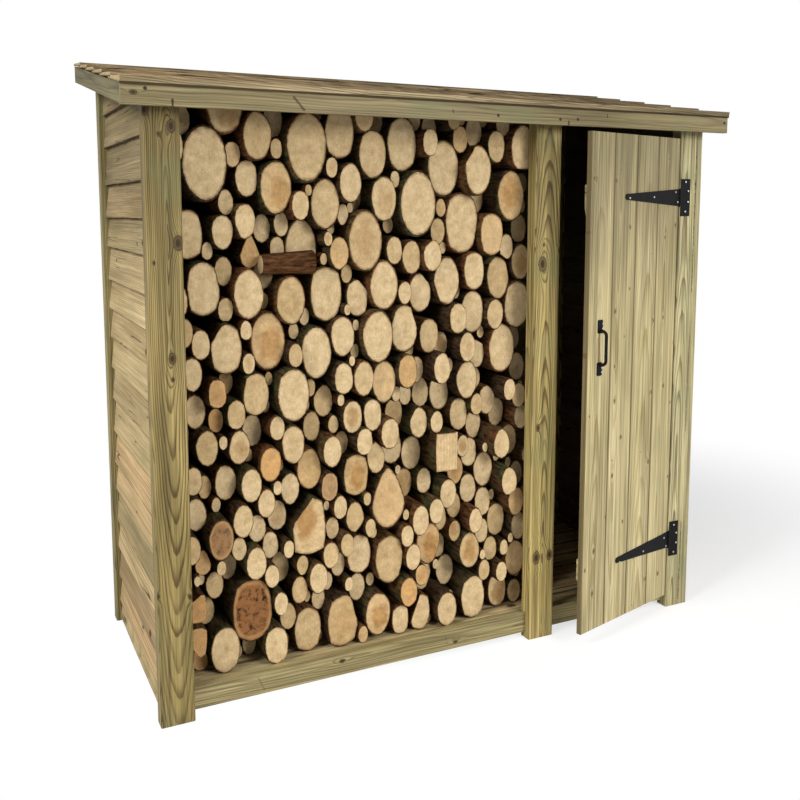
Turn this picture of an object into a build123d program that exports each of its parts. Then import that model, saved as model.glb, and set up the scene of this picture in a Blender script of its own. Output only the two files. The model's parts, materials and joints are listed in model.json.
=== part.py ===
from build123d import *
import os
from math import atan2, cos, hypot, pi, radians, sin, sqrt, tan
from random import Random

# Timber log store with an open log bay and a ledged tool cupboard under one lapped roof, in mm.
# +Z is up, the open front faces -Y, and the ground under the posts is z = 0.

# Overall form
WIDTH = 1830
DEPTH = 770
LOG_BAY_WIDTH = 1076
FRONT = -325
POST_WIDE = 92
POST_DEEP = 46
POST_EASE = 3

# Roof
FRONT_EAVE_HEIGHT = 1677
ROOF_PITCH = 10.2
FRONT_OVERHANG = 48
SIDE_OVERHANG = 58
BACK_OVERHANG = 16
ROOF_DRIP = 2
ROOF_COURSES = 6
ROOF_THICK_EDGE = 20
ROOF_THIN_EDGE = 8
TRIM_THICK = 18
TRIM_TALL = 49
RAFTER_WIDE = 46
RAFTER_TALL = 46
TOP_RAIL_TALL = 44

# Lapped wall boards: exposed height, set-back of the thick edge, and the two edge thicknesses
LAP_PITCH = 100
LAP_FIRST_EDGE = 70
WALL_FOOT = 16
WALL_RECESS = 12
WALL_THICK_EDGE = 18
WALL_THIN_EDGE = 7

# Base
SILL_FOOT = 20
SILL_TOP = 84
SILL_SETBACK = 22
SILL_BEHIND_POST = 4
BEARER_WIDE = 46
FLOOR_THICK = 18
FLOOR_TOP = 78

# Door leaf, in its own frame about the hinge pin
DOOR_GAP = 5
DOOR_FOOT = 46
DOOR_HEAD = 1608
DOOR_THICK = 16
DOOR_BOARDS = 4
DOOR_VEE = 3
DOOR_AJAR = 15
LEDGE_TALL = 70
LEDGE_THICK = 20
LEDGE_INSET = 18
BRACE_WIDE = 70

# Tee hinges
HINGE_HEIGHTS = (1416, 245)
PIN_FROM_POST = 1.5
PLATE = 2.5
PIN_RADIUS = 2.5
BORE_RADIUS = 2.6
PIN_FORWARD = 4.5
KNUCKLE_RADIUS = 4.3
KNUCKLE = 12
KNUCKLE_PLAY = 0.5
FLAP_WIDE = 38
FLAP_TALL = 122
STRAP_LONG = 300
STRAP_ROOT = 56
STRAP_TIP = 18

# Bow handle
HANDLE_FROM_PIN = 411
HANDLE_HEIGHT = 954
HANDLE_LONG = 174
HANDLE_PLATE_TALL = 42
HANDLE_PLATE_WIDE = 24
HANDLE_PLATE_CORNER = 5
HANDLE_GRIP_LONG = 104
HANDLE_BEND = 14
HANDLE_REACH = 25
HANDLE_BAR = 5

# Firewood: cut ends are taller than wide, and each end class is set back from the sill and the back
WOOD_SEED = 11
WOOD_LAYERS = 6
WOOD_BEHIND_POST = 39
WOOD_SIDE_GAP = 3
WOOD_HEADROOM = 4
WOOD_STRETCH = 1.61
WOOD_PLAY = 0.25
WOOD_TOUCH = 0.01
WOOD_NEAR = 6
WOOD_CORNER_TURN = radians(48)
FILLING_RADII = (30, 26, 22)
BILLET_ENDS = ((3, 70), (28, 84), (56, 76), (92, 98), (135, 80))
DEEP_ENDS = (3, 4)

# Crosswise billet: where it starts and stops from the left post, height of its axis, radius
CROSS_BILLET = (231, 383, 1230, 36)
CROSS_CORNERS = 8

# Main billets, lowest first: distance from the left post, height, half width, end class
MAIN_BILLETS = (
    (805, 136, 35, 0), (1026, 137, 36, 3), (250, 138, 35, 0), (718, 138, 37, 1),
    (105, 147, 42, 1), (357, 148, 42.5, 2), (908, 150, 44, 1), (576, 159, 41.5, 1),
    (461, 161, 50.5, 1), (764, 224, 32, 4), (845, 225, 32.5, 4), (525, 237, 27.5, 3),
    (1077, 244, 38, 2), (185, 250, 58, 1), (334, 273, 26, 2), (894, 307, 36.5, 1),
    (464, 319, 23.5, 3), (90, 324, 25.5, 3), (613, 325, 47.5, 1), (756, 345, 42, 2),
    (523, 352, 38, 2), (1017, 376, 34, 3), (52, 404, 24, 2), (247, 423, 25.5, 2),
    (359, 468, 55, 1), (96, 474, 36, 0), (503, 474, 29.5, 1), (276, 500, 29, 3),
    (610, 517, 58.5, 1), (967, 551, 35.5, 3), (422, 576, 26.5, 1), (506, 602, 40, 1),
    (127, 616, 32, 3), (723, 625, 33.5, 4), (367, 631, 37, 2), (1061, 636, 32.5, 3),
    (803, 639, 42, 0), (657, 650, 33.5, 4), (247, 665, 31.5, 1), (426, 684, 29, 0),
    (313, 714, 34.5, 1), (157, 723, 30.5, 1), (67, 731, 32, 1), (723, 733, 30, 2),
    (876, 739, 32.5, 3), (385, 750, 27.5, 3), (496, 777, 30, 1), (821, 810, 36, 4),
    (150, 816, 26.5, 1), (422, 824, 30, 3), (891, 851, 37, 2), (311, 861, 47.5, 0),
    (207, 869, 38, 1), (598, 871, 38.5, 1), (95, 884, 25, 0), (525, 890, 32.5, 0),
    (668, 900, 32.5, 0), (32, 937, 29, 1), (1015, 942, 47.5, 2), (881, 957, 29, 1),
    (386, 972, 46.5, 1), (126, 1000, 43.5, 1), (757, 997, 33.5, 2), (571, 1009, 47.5, 0),
    (249, 1011, 50.5, 2), (467, 1014, 37, 1), (664, 1026, 44, 1), (8, 1054, 24.5, 0),
    (908, 1063, 41, 2), (1071, 1079, 47, 2), (521, 1123, 34, 2), (312, 1126, 42.5, 1),
    (726, 1130, 37, 2), (424, 1138, 49.5, 2), (191, 1148, 43, 1), (598, 1158, 44.5, 1),
    (806, 1164, 44.5, 1), (999, 1166, 40.5, 2), (67, 1166, 46, 1), (902, 1190, 36.5, 1),
    (1083, 1213, 35.5, 2), (688, 1237, 31.5, 1), (359, 1273, 48.5, 3), (539, 1288, 53.5, 1),
    (964, 1301, 41, 1), (33, 1312, 42, 2), (122, 1316, 30, 1), (254, 1325, 25.5, 4),
    (867, 1336, 57, 2), (416, 1393, 44, 1), (709, 1394, 59, 1), (599, 1406, 40, 1),
    (1031, 1419, 48.5, 1), (273, 1436, 45, 1), (487, 1452, 34.5, 0), (196, 1460, 32, 2),
    (903, 1494, 45.5, 0), (78, 1497, 60.5, 1), (804, 1499, 52, 2), (563, 1535, 43, 1),
    (357, 1547, 58.5, 0), (1062, 1562, 44.5, 0), (666, 1565, 48.5, 2), (976, 1568, 30.5, 1),
    (218, 1573, 40, 0), (462, 1590, 45, 1), (136, 1662, 52.5, 1),
)

os.makedirs("parts", exist_ok=True)

LEFT = -WIDTH / 2
RIGHT = WIDTH / 2
BACK = FRONT + DEPTH
MIDDLE_LEFT = LEFT + POST_WIDE + LOG_BAY_WIDTH
MIDDLE_RIGHT = MIDDLE_LEFT + POST_WIDE
MIDDLE = (MIDDLE_LEFT + MIDDLE_RIGHT) / 2
FRONT_INNER = FRONT + POST_DEEP
BACK_INNER = BACK - POST_DEEP
ROOF_RISE = tan(radians(ROOF_PITCH))
EAVE = FRONT - FRONT_OVERHANG
WALL_INNER = WALL_RECESS + WALL_THICK_EDGE
PIN_X = RIGHT - POST_WIDE - PIN_FROM_POST
PIN_Y = FRONT - PIN_FORWARD
POST_HEAD = FRONT_EAVE_HEIGHT + (FRONT - EAVE) * ROOF_RISE - TOP_RAIL_TALL


def roof_seat(y):
    """Height of the plane that the roof boards lie on."""
    return FRONT_EAVE_HEIGHT + (y - EAVE) * ROOF_RISE


BACK_POST_HEAD = roof_seat(BACK_INNER) - TOP_RAIL_TALL


def lapped_outline(start, stop):
    """Outer side of a lapped wall as (set-back, height) points, thick lower edges outermost."""
    edges = [start]
    edge = LAP_FIRST_EDGE
    while edge < stop:
        edges.append(edge)
        edge += LAP_PITCH
    edges.append(stop)
    points = []
    for low, high in zip(edges, edges[1:]):
        share = (high - low) / LAP_PITCH
        step = (WALL_THICK_EDGE - WALL_THIN_EDGE) * min(share, 1)
        points.append((WALL_RECESS, low))
        points.append((WALL_RECESS + step, high))
    return points


def on_leaf(height):
    """Level plane at a height in the door leaf's frame: +X runs from the free edge to the pin."""
    swing = radians(DOOR_AJAR)
    return Plane(origin=(PIN_X, PIN_Y, height), x_dir=(cos(swing), sin(swing), 0), z_dir=(0, 0, 1))


def facing_leaf(forward):
    """Upright plane parallel to the leaf's face, this far in front of the pin."""
    swing = radians(DOOR_AJAR)
    along = (cos(swing), sin(swing), 0)
    return Plane(origin=(PIN_X, PIN_Y, 0), x_dir=along, z_dir=(sin(swing), -cos(swing), 0)).offset(forward)


# ---------------------------------------------------------------- posts
def post_section(plane, x, y):
    """Eased rectangular post section with its left front corner at x, y."""
    with BuildSketch(plane) as section:
        with Locations((x, y)):
            Rectangle(POST_WIDE, POST_DEEP, align=(Align.MIN, Align.MIN))
        chamfer(section.vertices(), POST_EASE)
    return section.sketch


with BuildPart() as front_left_post:
    extrude(post_section(Plane.XY, LEFT, FRONT), amount=POST_HEAD)
front_left_post.part.label = "front_left_post"

with BuildPart() as front_middle_post:
    extrude(post_section(Plane.XY, MIDDLE_LEFT, FRONT), amount=POST_HEAD)
front_middle_post.part.label = "front_middle_post"

with BuildPart() as front_right_post:
    extrude(post_section(Plane.XY, RIGHT - POST_WIDE, FRONT), amount=POST_HEAD)
front_right_post.part.label = "front_right_post"

with BuildPart() as back_left_post:
    extrude(post_section(Plane.XY, LEFT, BACK_INNER), amount=BACK_POST_HEAD)
back_left_post.part.label = "back_left_post"

with BuildPart() as back_middle_post:
    extrude(post_section(Plane.XY, MIDDLE_LEFT, BACK_INNER), amount=BACK_POST_HEAD)
back_middle_post.part.label = "back_middle_post"

with BuildPart() as back_right_post:
    extrude(post_section(Plane.XY, RIGHT - POST_WIDE, BACK_INNER), amount=BACK_POST_HEAD)
back_right_post.part.label = "back_right_post"

# ---------------------------------------------------------------- top rails and rafters
with BuildPart() as front_top_rail:
    with BuildSketch(Plane.YZ.offset(LEFT)):
        with BuildLine():
            Polyline(
                (FRONT, POST_HEAD),
                (FRONT_INNER, POST_HEAD),
                (FRONT_INNER, roof_seat(FRONT_INNER)),
                (FRONT, roof_seat(FRONT)),
                close=True,
            )
        make_face()
    extrude(amount=WIDTH)
front_top_rail.part.label = "front_top_rail"

with BuildPart() as back_top_rail:
    with BuildSketch(Plane.YZ.offset(LEFT)):
        with BuildLine():
            Polyline(
                (BACK_INNER, BACK_POST_HEAD),
                (BACK, BACK_POST_HEAD),
                (BACK, roof_seat(BACK)),
                (BACK_INNER, roof_seat(BACK_INNER)),
                close=True,
            )
        make_face()
    extrude(amount=WIDTH)
back_top_rail.part.label = "back_top_rail"


def rafter_side(x):
    """Side outline of a rafter between the two top rails, on the plane at x."""
    with BuildSketch(Plane.YZ.offset(x)) as side:
        with BuildLine():
            Polyline(
                (FRONT_INNER, roof_seat(FRONT_INNER) - RAFTER_TALL),
                (BACK_INNER, roof_seat(BACK_INNER) - RAFTER_TALL),
                (BACK_INNER, roof_seat(BACK_INNER)),
                (FRONT_INNER, roof_seat(FRONT_INNER)),
                close=True,
            )
        make_face()
    return side.sketch


with BuildPart() as left_rafter:
    extrude(rafter_side(LEFT + WALL_INNER), amount=RAFTER_WIDE)
left_rafter.part.label = "left_rafter"

with BuildPart() as middle_rafter:
    extrude(rafter_side(MIDDLE - RAFTER_WIDE / 2), amount=RAFTER_WIDE)
middle_rafter.part.label = "middle_rafter"

with BuildPart() as right_rafter:
    extrude(rafter_side(RIGHT - WALL_INNER - RAFTER_WIDE), amount=RAFTER_WIDE)
right_rafter.part.label = "right_rafter"

# ---------------------------------------------------------------- base frame and floors
SILL_FRONT = FRONT + SILL_SETBACK
SILL_BACK = FRONT_INNER + SILL_BEHIND_POST
BACK_SILL_FRONT = BACK_INNER - SILL_BEHIND_POST
BACK_SILL_BACK = BACK - WALL_INNER
SILL_TALL = SILL_TOP - SILL_FOOT
BEARER_TOP = FLOOR_TOP - FLOOR_THICK
BEARER_TALL = BEARER_TOP - SILL_FOOT
FLOOR_DEEP = BACK_SILL_FRONT - SILL_BACK
LOG_BAY_MIDDLE = LEFT + POST_WIDE + LOG_BAY_WIDTH / 2


def sill(x_start, x_stop, y_start, y_stop):
    """Plan outline of one sill between two posts."""
    with BuildSketch(Plane.XY.offset(SILL_FOOT)) as plan:
        with Locations((x_start, y_start)):
            Rectangle(x_stop - x_start, y_stop - y_start, align=(Align.MIN, Align.MIN))
    return plan.sketch


with BuildPart() as log_bay_sill:
    extrude(sill(LEFT + POST_WIDE, MIDDLE_LEFT, SILL_FRONT, SILL_BACK), amount=SILL_TALL)
log_bay_sill.part.label = "log_bay_sill"

with BuildPart() as cupboard_sill:
    extrude(sill(MIDDLE_RIGHT, RIGHT - POST_WIDE, SILL_FRONT, SILL_BACK), amount=SILL_TALL)
cupboard_sill.part.label = "cupboard_sill"

with BuildPart() as log_bay_back_sill:
    extrude(sill(LEFT + POST_WIDE, MIDDLE_LEFT, BACK_SILL_FRONT, BACK_SILL_BACK), amount=SILL_TALL)
log_bay_back_sill.part.label = "log_bay_back_sill"

with BuildPart() as cupboard_back_sill:
    extrude(sill(MIDDLE_RIGHT, RIGHT - POST_WIDE, BACK_SILL_FRONT, BACK_SILL_BACK), amount=SILL_TALL)
cupboard_back_sill.part.label = "cupboard_back_sill"

def bearer(x, y_start, y_stop):
    """Plan outline of a bearer under the floors, with its left side at x."""
    return sill(x, x + BEARER_WIDE, y_start, y_stop)


with BuildPart() as left_bottom_rail:
    extrude(bearer(LEFT + WALL_INNER, FRONT_INNER, BACK_INNER), amount=BEARER_TALL)
left_bottom_rail.part.label = "left_bottom_rail"

with BuildPart() as right_bottom_rail:
    extrude(bearer(RIGHT - WALL_INNER - BEARER_WIDE, FRONT_INNER, BACK_INNER), amount=BEARER_TALL)
right_bottom_rail.part.label = "right_bottom_rail"

with BuildPart() as log_bay_bearer:
    extrude(bearer(LOG_BAY_MIDDLE - BEARER_WIDE / 2, SILL_BACK, BACK_SILL_FRONT), amount=BEARER_TALL)
log_bay_bearer.part.label = "log_bay_bearer"

with BuildPart() as middle_bearer:
    extrude(bearer(MIDDLE - BEARER_WIDE / 2, FRONT_INNER, BACK_INNER), amount=BEARER_TALL)
middle_bearer.part.label = "middle_bearer"

with BuildPart() as log_bay_floor:
    with BuildSketch(Plane.XY.offset(BEARER_TOP)):
        with Locations((LEFT + WALL_INNER, SILL_BACK)):
            Rectangle(MIDDLE - LEFT - WALL_INNER, FLOOR_DEEP, align=(Align.MIN, Align.MIN))
    extrude(amount=FLOOR_THICK)
log_bay_floor.part.label = "log_bay_floor"

with BuildPart() as cupboard_floor:
    with BuildSketch(Plane.XY.offset(BEARER_TOP)):
        with Locations((MIDDLE, SILL_BACK)):
            Rectangle(RIGHT - WALL_INNER - MIDDLE, FLOOR_DEEP, align=(Align.MIN, Align.MIN))
    extrude(amount=FLOOR_THICK)
cupboard_floor.part.label = "cupboard_floor"

# ---------------------------------------------------------------- lapped walls
SIDE_WALL_STOP = roof_seat(BACK_INNER)
side_profile = lapped_outline(WALL_FOOT, SIDE_WALL_STOP)
back_profile = lapped_outline(WALL_FOOT, BACK_POST_HEAD)


def side_wall(base_x, outward):
    """Lapped profile of a side wall at the front post, drawn from its outer corner line inwards."""
    outer = [(base_x - outward * depth, height) for depth, height in side_profile]
    inner_x = base_x - outward * WALL_INNER
    with BuildSketch(Plane.XZ.offset(-FRONT_INNER)) as profile:
        with BuildLine():
            Polyline(*outer, (inner_x, SIDE_WALL_STOP), (inner_x, WALL_FOOT), close=True)
        make_face()
    return profile.sketch


def under_roof():
    """Slab of air above the roof seat, used to trim the side walls to the roof's slope."""
    with BuildSketch(Plane.YZ.offset(LEFT)) as side:
        with BuildLine():
            Polyline(
                (FRONT_INNER, roof_seat(FRONT_INNER)),
                (BACK_INNER, roof_seat(BACK_INNER)),
                (BACK_INNER, roof_seat(BACK)),
                (FRONT_INNER, roof_seat(BACK)),
                close=True,
            )
        make_face()
    return side.sketch


with BuildPart() as left_wall:
    extrude(side_wall(LEFT, -1), amount=-(BACK_INNER - FRONT_INNER))
    extrude(under_roof(), amount=WIDTH, mode=Mode.SUBTRACT)
left_wall.part.label = "left_wall"

with BuildPart() as right_wall:
    extrude(side_wall(RIGHT, 1), amount=-(BACK_INNER - FRONT_INNER))
    extrude(under_roof(), amount=WIDTH, mode=Mode.SUBTRACT)
right_wall.part.label = "right_wall"


def back_wall(x):
    """Lapped profile of the back wall on the plane at x."""
    outer = [(BACK - depth, height) for depth, height in back_profile]
    inner_y = BACK - WALL_INNER
    with BuildSketch(Plane.YZ.offset(x)) as profile:
        with BuildLine():
            Polyline(*outer, (inner_y, BACK_POST_HEAD), (inner_y, WALL_FOOT), close=True)
        make_face()
    return profile.sketch


with BuildPart() as log_bay_back_wall:
    extrude(back_wall(LEFT + POST_WIDE), amount=LOG_BAY_WIDTH)
log_bay_back_wall.part.label = "log_bay_back_wall"

with BuildPart() as cupboard_back_wall:
    extrude(back_wall(MIDDLE_RIGHT), amount=RIGHT - POST_WIDE - MIDDLE_RIGHT)
cupboard_back_wall.part.label = "cupboard_back_wall"

# ---------------------------------------------------------------- roof
ROOF_FRONT = EAVE - ROOF_DRIP
ROOF_BACK = BACK + BACK_OVERHANG
ROOF_RUN = ROOF_BACK - ROOF_FRONT
COURSE_RUN = ROOF_RUN / ROOF_COURSES

roof_top = []
for course in range(ROOF_COURSES):
    low_y = ROOF_FRONT + course * COURSE_RUN
    high_y = low_y + COURSE_RUN
    roof_top.append((low_y, roof_seat(low_y) + ROOF_THICK_EDGE))
    roof_top.append((high_y, roof_seat(high_y) + ROOF_THIN_EDGE))

with BuildPart() as roof_boards:
    with BuildSketch(Plane.YZ.offset(LEFT - SIDE_OVERHANG - ROOF_DRIP)):
        with BuildLine():
            Polyline(
                *roof_top,
                (ROOF_BACK, roof_seat(ROOF_BACK)),
                (ROOF_FRONT, roof_seat(ROOF_FRONT)),
                close=True,
            )
        make_face()
    extrude(amount=WIDTH + 2 * (SIDE_OVERHANG + ROOF_DRIP))
roof_boards.part.label = "roof_boards"

with BuildPart() as front_fascia:
    with BuildSketch(Plane.YZ.offset(LEFT - SIDE_OVERHANG)):
        with BuildLine():
            Polyline(
                (EAVE, FRONT_EAVE_HEIGHT - TRIM_TALL),
                (EAVE + TRIM_THICK, FRONT_EAVE_HEIGHT - TRIM_TALL),
                (EAVE + TRIM_THICK, roof_seat(EAVE + TRIM_THICK)),
                (EAVE, FRONT_EAVE_HEIGHT),
                close=True,
            )
        make_face()
    extrude(amount=WIDTH + 2 * SIDE_OVERHANG)
front_fascia.part.label = "front_fascia"


def barge_side(x):
    """Side outline of a barge board under the roof's end, on the plane at x."""
    start = EAVE + TRIM_THICK
    with BuildSketch(Plane.YZ.offset(x)) as side:
        with BuildLine():
            Polyline(
                (start, roof_seat(start) - TRIM_TALL),
                (ROOF_BACK, roof_seat(ROOF_BACK) - TRIM_TALL),
                (ROOF_BACK, roof_seat(ROOF_BACK)),
                (start, roof_seat(start)),
                close=True,
            )
        make_face()
    return side.sketch


with BuildPart() as left_barge_board:
    extrude(barge_side(LEFT - SIDE_OVERHANG), amount=TRIM_THICK)
left_barge_board.part.label = "left_barge_board"

with BuildPart() as right_barge_board:
    extrude(barge_side(RIGHT + SIDE_OVERHANG - TRIM_THICK), amount=TRIM_THICK)
right_barge_board.part.label = "right_barge_board"

with BuildPart() as back_fascia:
    with BuildSketch(Plane.YZ.offset(LEFT - SIDE_OVERHANG + TRIM_THICK)):
        with BuildLine():
            Polyline(
                (BACK, roof_seat(BACK) - TRIM_TALL),
                (ROOF_BACK, roof_seat(BACK) - TRIM_TALL),
                (ROOF_BACK, roof_seat(ROOF_BACK)),
                (BACK, roof_seat(BACK)),
                close=True,
            )
        make_face()
    extrude(amount=WIDTH + 2 * (SIDE_OVERHANG - TRIM_THICK))
back_fascia.part.label = "back_fascia"

# ---------------------------------------------------------------- door leaf
LEAF_RIGHT = RIGHT - POST_WIDE - DOOR_GAP - PIN_X
LEAF_LEFT = MIDDLE_RIGHT + DOOR_GAP - PIN_X
BOARD = (LEAF_RIGHT - LEAF_LEFT) / DOOR_BOARDS


with BuildPart() as door_boards:
    with BuildSketch(on_leaf(DOOR_FOOT)):
        with Locations((LEAF_LEFT, PIN_FORWARD)):
            Rectangle(LEAF_RIGHT - LEAF_LEFT, DOOR_THICK, align=(Align.MIN, Align.MIN))
        vee_joints = [(LEAF_LEFT + board * BOARD, PIN_FORWARD) for board in range(1, DOOR_BOARDS)]
        with Locations(*vee_joints):
            Rectangle(DOOR_VEE * sqrt(2), DOOR_VEE * sqrt(2), rotation=45, mode=Mode.SUBTRACT)
    extrude(amount=DOOR_HEAD - DOOR_FOOT)
door_boards.part.label = "door_boards"

LEDGE_FACE = -PIN_FORWARD - DOOR_THICK
LEDGE_LONG = LEAF_RIGHT - LEAF_LEFT - 2 * LEDGE_INSET


def ledge_outline(height):
    """Upright outline of a ledge across the back of the leaf."""
    with BuildSketch(facing_leaf(LEDGE_FACE)) as outline:
        with Locations((LEAF_LEFT + LEDGE_INSET, height)):
            Rectangle(LEDGE_LONG, LEDGE_TALL, align=(Align.MIN, Align.CENTER))
    return outline.sketch


with BuildPart() as upper_door_ledge:
    extrude(ledge_outline(HINGE_HEIGHTS[0]), amount=-LEDGE_THICK)
upper_door_ledge.part.label = "upper_door_ledge"

with BuildPart() as lower_door_ledge:
    extrude(ledge_outline(HINGE_HEIGHTS[1]), amount=-LEDGE_THICK)
lower_door_ledge.part.label = "lower_door_ledge"

with BuildPart() as door_brace:
    with BuildSketch(facing_leaf(LEDGE_FACE)):
        with BuildLine():
            Polyline(
                (LEAF_RIGHT - LEDGE_INSET - BRACE_WIDE, HINGE_HEIGHTS[1] + LEDGE_TALL / 2),
                (LEAF_RIGHT - LEDGE_INSET, HINGE_HEIGHTS[1] + LEDGE_TALL / 2),
                (LEAF_LEFT + LEDGE_INSET + BRACE_WIDE, HINGE_HEIGHTS[0] - LEDGE_TALL / 2),
                (LEAF_LEFT + LEDGE_INSET, HINGE_HEIGHTS[0] - LEDGE_TALL / 2),
                close=True,
            )
        make_face()
    extrude(amount=-LEDGE_THICK)
door_brace.part.label = "door_brace"

# ---------------------------------------------------------------- tee hinges
STRAP_KNUCKLES = (-KNUCKLE, KNUCKLE)
FLAP_KNUCKLES = (-2 * KNUCKLE, 0, 2 * KNUCKLE)
KNUCKLE_LONG = KNUCKLE - KNUCKLE_PLAY
BARREL_LONG = KNUCKLE * (len(STRAP_KNUCKLES) + len(FLAP_KNUCKLES))
PLATE_BACK = -PIN_FORWARD
PLATE_ROOT = PIN_FORWARD + KNUCKLE_PLAY


def strap_outline(height):
    """Upright outline of the tapering strap, from its root beside the barrel to its round tip."""
    with BuildSketch(facing_leaf(PLATE_BACK)) as outline:
        with BuildLine():
            Polyline(
                (-STRAP_LONG + STRAP_TIP / 2, height + STRAP_TIP / 2),
                (-PLATE_ROOT, height + STRAP_ROOT / 2),
                (-PLATE_ROOT, height - STRAP_ROOT / 2),
                (-STRAP_LONG + STRAP_TIP / 2, height - STRAP_TIP / 2),
            )
            ThreePointArc(
                (-STRAP_LONG + STRAP_TIP / 2, height - STRAP_TIP / 2),
                (-STRAP_LONG, height),
                (-STRAP_LONG + STRAP_TIP / 2, height + STRAP_TIP / 2),
            )
        make_face()
    return outline.sketch


def knuckle(plane, side, bore):
    """Plan section of one rolled knuckle with its tongue, which runs to the plate on this side."""
    with BuildSketch(plane) as section:
        Circle(KNUCKLE_RADIUS)
        with Locations((side * PLATE_ROOT / 2, PIN_FORWARD - PLATE / 2)):
            Rectangle(PLATE_ROOT, PLATE)
        if bore:
            Circle(bore, mode=Mode.SUBTRACT)
    return section.sketch


def level_at(height):
    """Level plane on the pin's axis at a height."""
    return Plane(origin=(PIN_X, PIN_Y, height))


def strap(height):
    """Tapering strap plate and its two rolled knuckles."""
    with BuildPart() as leaf:
        extrude(strap_outline(height), amount=PLATE)
        for step in STRAP_KNUCKLES:
            foot = height + step - KNUCKLE_LONG / 2
            extrude(knuckle(on_leaf(foot), -1, BORE_RADIUS), amount=KNUCKLE_LONG)
    return leaf.part


def flap(height):
    """Flap plate on the post, its three rolled knuckles and the riveted pin."""
    with BuildPart() as leaf:
        with BuildSketch(Plane.XZ.offset(-FRONT)):
            with Locations((PIN_X + PLATE_ROOT, height)):
                Rectangle(FLAP_WIDE, FLAP_TALL, align=(Align.MIN, Align.CENTER))
        extrude(amount=PLATE)
        for step in FLAP_KNUCKLES:
            foot = height + step - KNUCKLE_LONG / 2
            extrude(knuckle(level_at(foot), 1, 0), amount=KNUCKLE_LONG)
        with BuildSketch(level_at(height - BARREL_LONG / 2)):
            Circle(PIN_RADIUS)
        extrude(amount=BARREL_LONG)
    return leaf.part


with BuildPart() as upper_hinge_flap:
    add(flap(HINGE_HEIGHTS[0]))
upper_hinge_flap.part.label = "upper_hinge_flap"

with BuildPart() as lower_hinge_flap:
    add(flap(HINGE_HEIGHTS[1]))
lower_hinge_flap.part.label = "lower_hinge_flap"

with BuildPart() as upper_hinge_strap:
    add(strap(HINGE_HEIGHTS[0]))
upper_hinge_strap.part.label = "upper_hinge_strap"

with BuildPart() as lower_hinge_strap:
    add(strap(HINGE_HEIGHTS[1]))
lower_hinge_strap.part.label = "lower_hinge_strap"

# ---------------------------------------------------------------- bow handle
GRIP_TOP = HANDLE_HEIGHT + HANDLE_GRIP_LONG / 2
GRIP_FOOT = HANDLE_HEIGHT - HANDLE_GRIP_LONG / 2
PLATE_CENTRES = (
    (-HANDLE_FROM_PIN, HANDLE_HEIGHT + (HANDLE_LONG - HANDLE_PLATE_TALL) / 2),
    (-HANDLE_FROM_PIN, HANDLE_HEIGHT - (HANDLE_LONG - HANDLE_PLATE_TALL) / 2),
)

bow_side = Plane(
    origin=on_leaf(0).from_local_coords(Vector(-HANDLE_FROM_PIN, PIN_FORWARD, 0)),
    x_dir=(sin(radians(DOOR_AJAR)), -cos(radians(DOOR_AJAR)), 0),
    z_dir=(-cos(radians(DOOR_AJAR)), -sin(radians(DOOR_AJAR)), 0),
)

with BuildPart() as door_handle:
    with BuildSketch(facing_leaf(PLATE_BACK)):
        with Locations(*PLATE_CENTRES):
            RectangleRounded(HANDLE_PLATE_WIDE, HANDLE_PLATE_TALL, HANDLE_PLATE_CORNER)
    extrude(amount=PLATE)
    with BuildLine(bow_side) as bow_path:
        FilletPolyline(
            (PLATE / 2, GRIP_FOOT),
            (HANDLE_REACH, GRIP_FOOT),
            (HANDLE_REACH, GRIP_TOP),
            (PLATE / 2, GRIP_TOP),
            radius=HANDLE_BEND,
        )
    with BuildSketch(Plane(origin=bow_path.line @ 0, z_dir=bow_path.line % 0)):
        Circle(HANDLE_BAR)
    sweep(path=bow_path.line)
door_handle.part.label = "door_handle"

# ---------------------------------------------------------------- firewood
WOOD_LEFT = LEFT + POST_WIDE - WOOD_BEHIND_POST
WOOD_RIGHT = MIDDLE - WOOD_SIDE_GAP
WOOD_HEAD = roof_seat(FRONT_INNER) - WOOD_HEADROOM
LEFT_RAFTER_EDGE = LEFT + WALL_INNER + RAFTER_WIDE + WOOD_SIDE_GAP
MIDDLE_RAFTER_EDGE = MIDDLE - RAFTER_WIDE / 2 - WOOD_SIDE_GAP
CROSS_START = LEFT + POST_WIDE + CROSS_BILLET[0]
CROSS_STOP = LEFT + POST_WIDE + CROSS_BILLET[1]
CROSS_HEIGHT = CROSS_BILLET[2]
CROSS_RADIUS = CROSS_BILLET[3]


def real_height(level):
    """Height above ground of a level in the unstretched stack, where every billet is round."""
    return FLOOR_TOP + WOOD_STRETCH * level


def headroom(x, radius):
    """Height that a billet at x may reach, which is lower under the rafters."""
    if x - radius < LEFT_RAFTER_EDGE or x + radius > MIDDLE_RAFTER_EDGE:
        return WOOD_HEAD - RAFTER_TALL
    return WOOD_HEAD


def resting_spots(stack, radius):
    """Places where a billet touches two others, or one other and the floor or a side limit."""
    sides = (WOOD_LEFT + radius, WOOD_RIGHT - radius)
    spots = [(side, radius) for side in sides]
    for first, (x1, y1, r1, _) in enumerate(stack):
        reach = r1 + radius
        for side in sides:
            if abs(side - x1) < reach:
                rise = sqrt(reach**2 - (side - x1) ** 2)
                spots += [(side, y1 + rise), (side, y1 - rise)]
        if reach > abs(y1 - radius):
            aside = sqrt(reach**2 - (y1 - radius) ** 2)
            spots += [(x1 - aside, radius), (x1 + aside, radius)]
        for x2, y2, r2, _ in stack[first + 1 :]:
            span = hypot(x2 - x1, y2 - y1)
            other = r2 + radius
            if 0 < span < reach + other:
                along = (span**2 + reach**2 - other**2) / (2 * span)
                rise = sqrt(max(reach**2 - along**2, 0))
                across_x, across_y = (x2 - x1) / span, (y2 - y1) / span
                for turn in (rise, -rise):
                    x = x1 + along * across_x - turn * across_y
                    spots.append((x, y1 + along * across_y + turn * across_x))
    return spots


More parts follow.
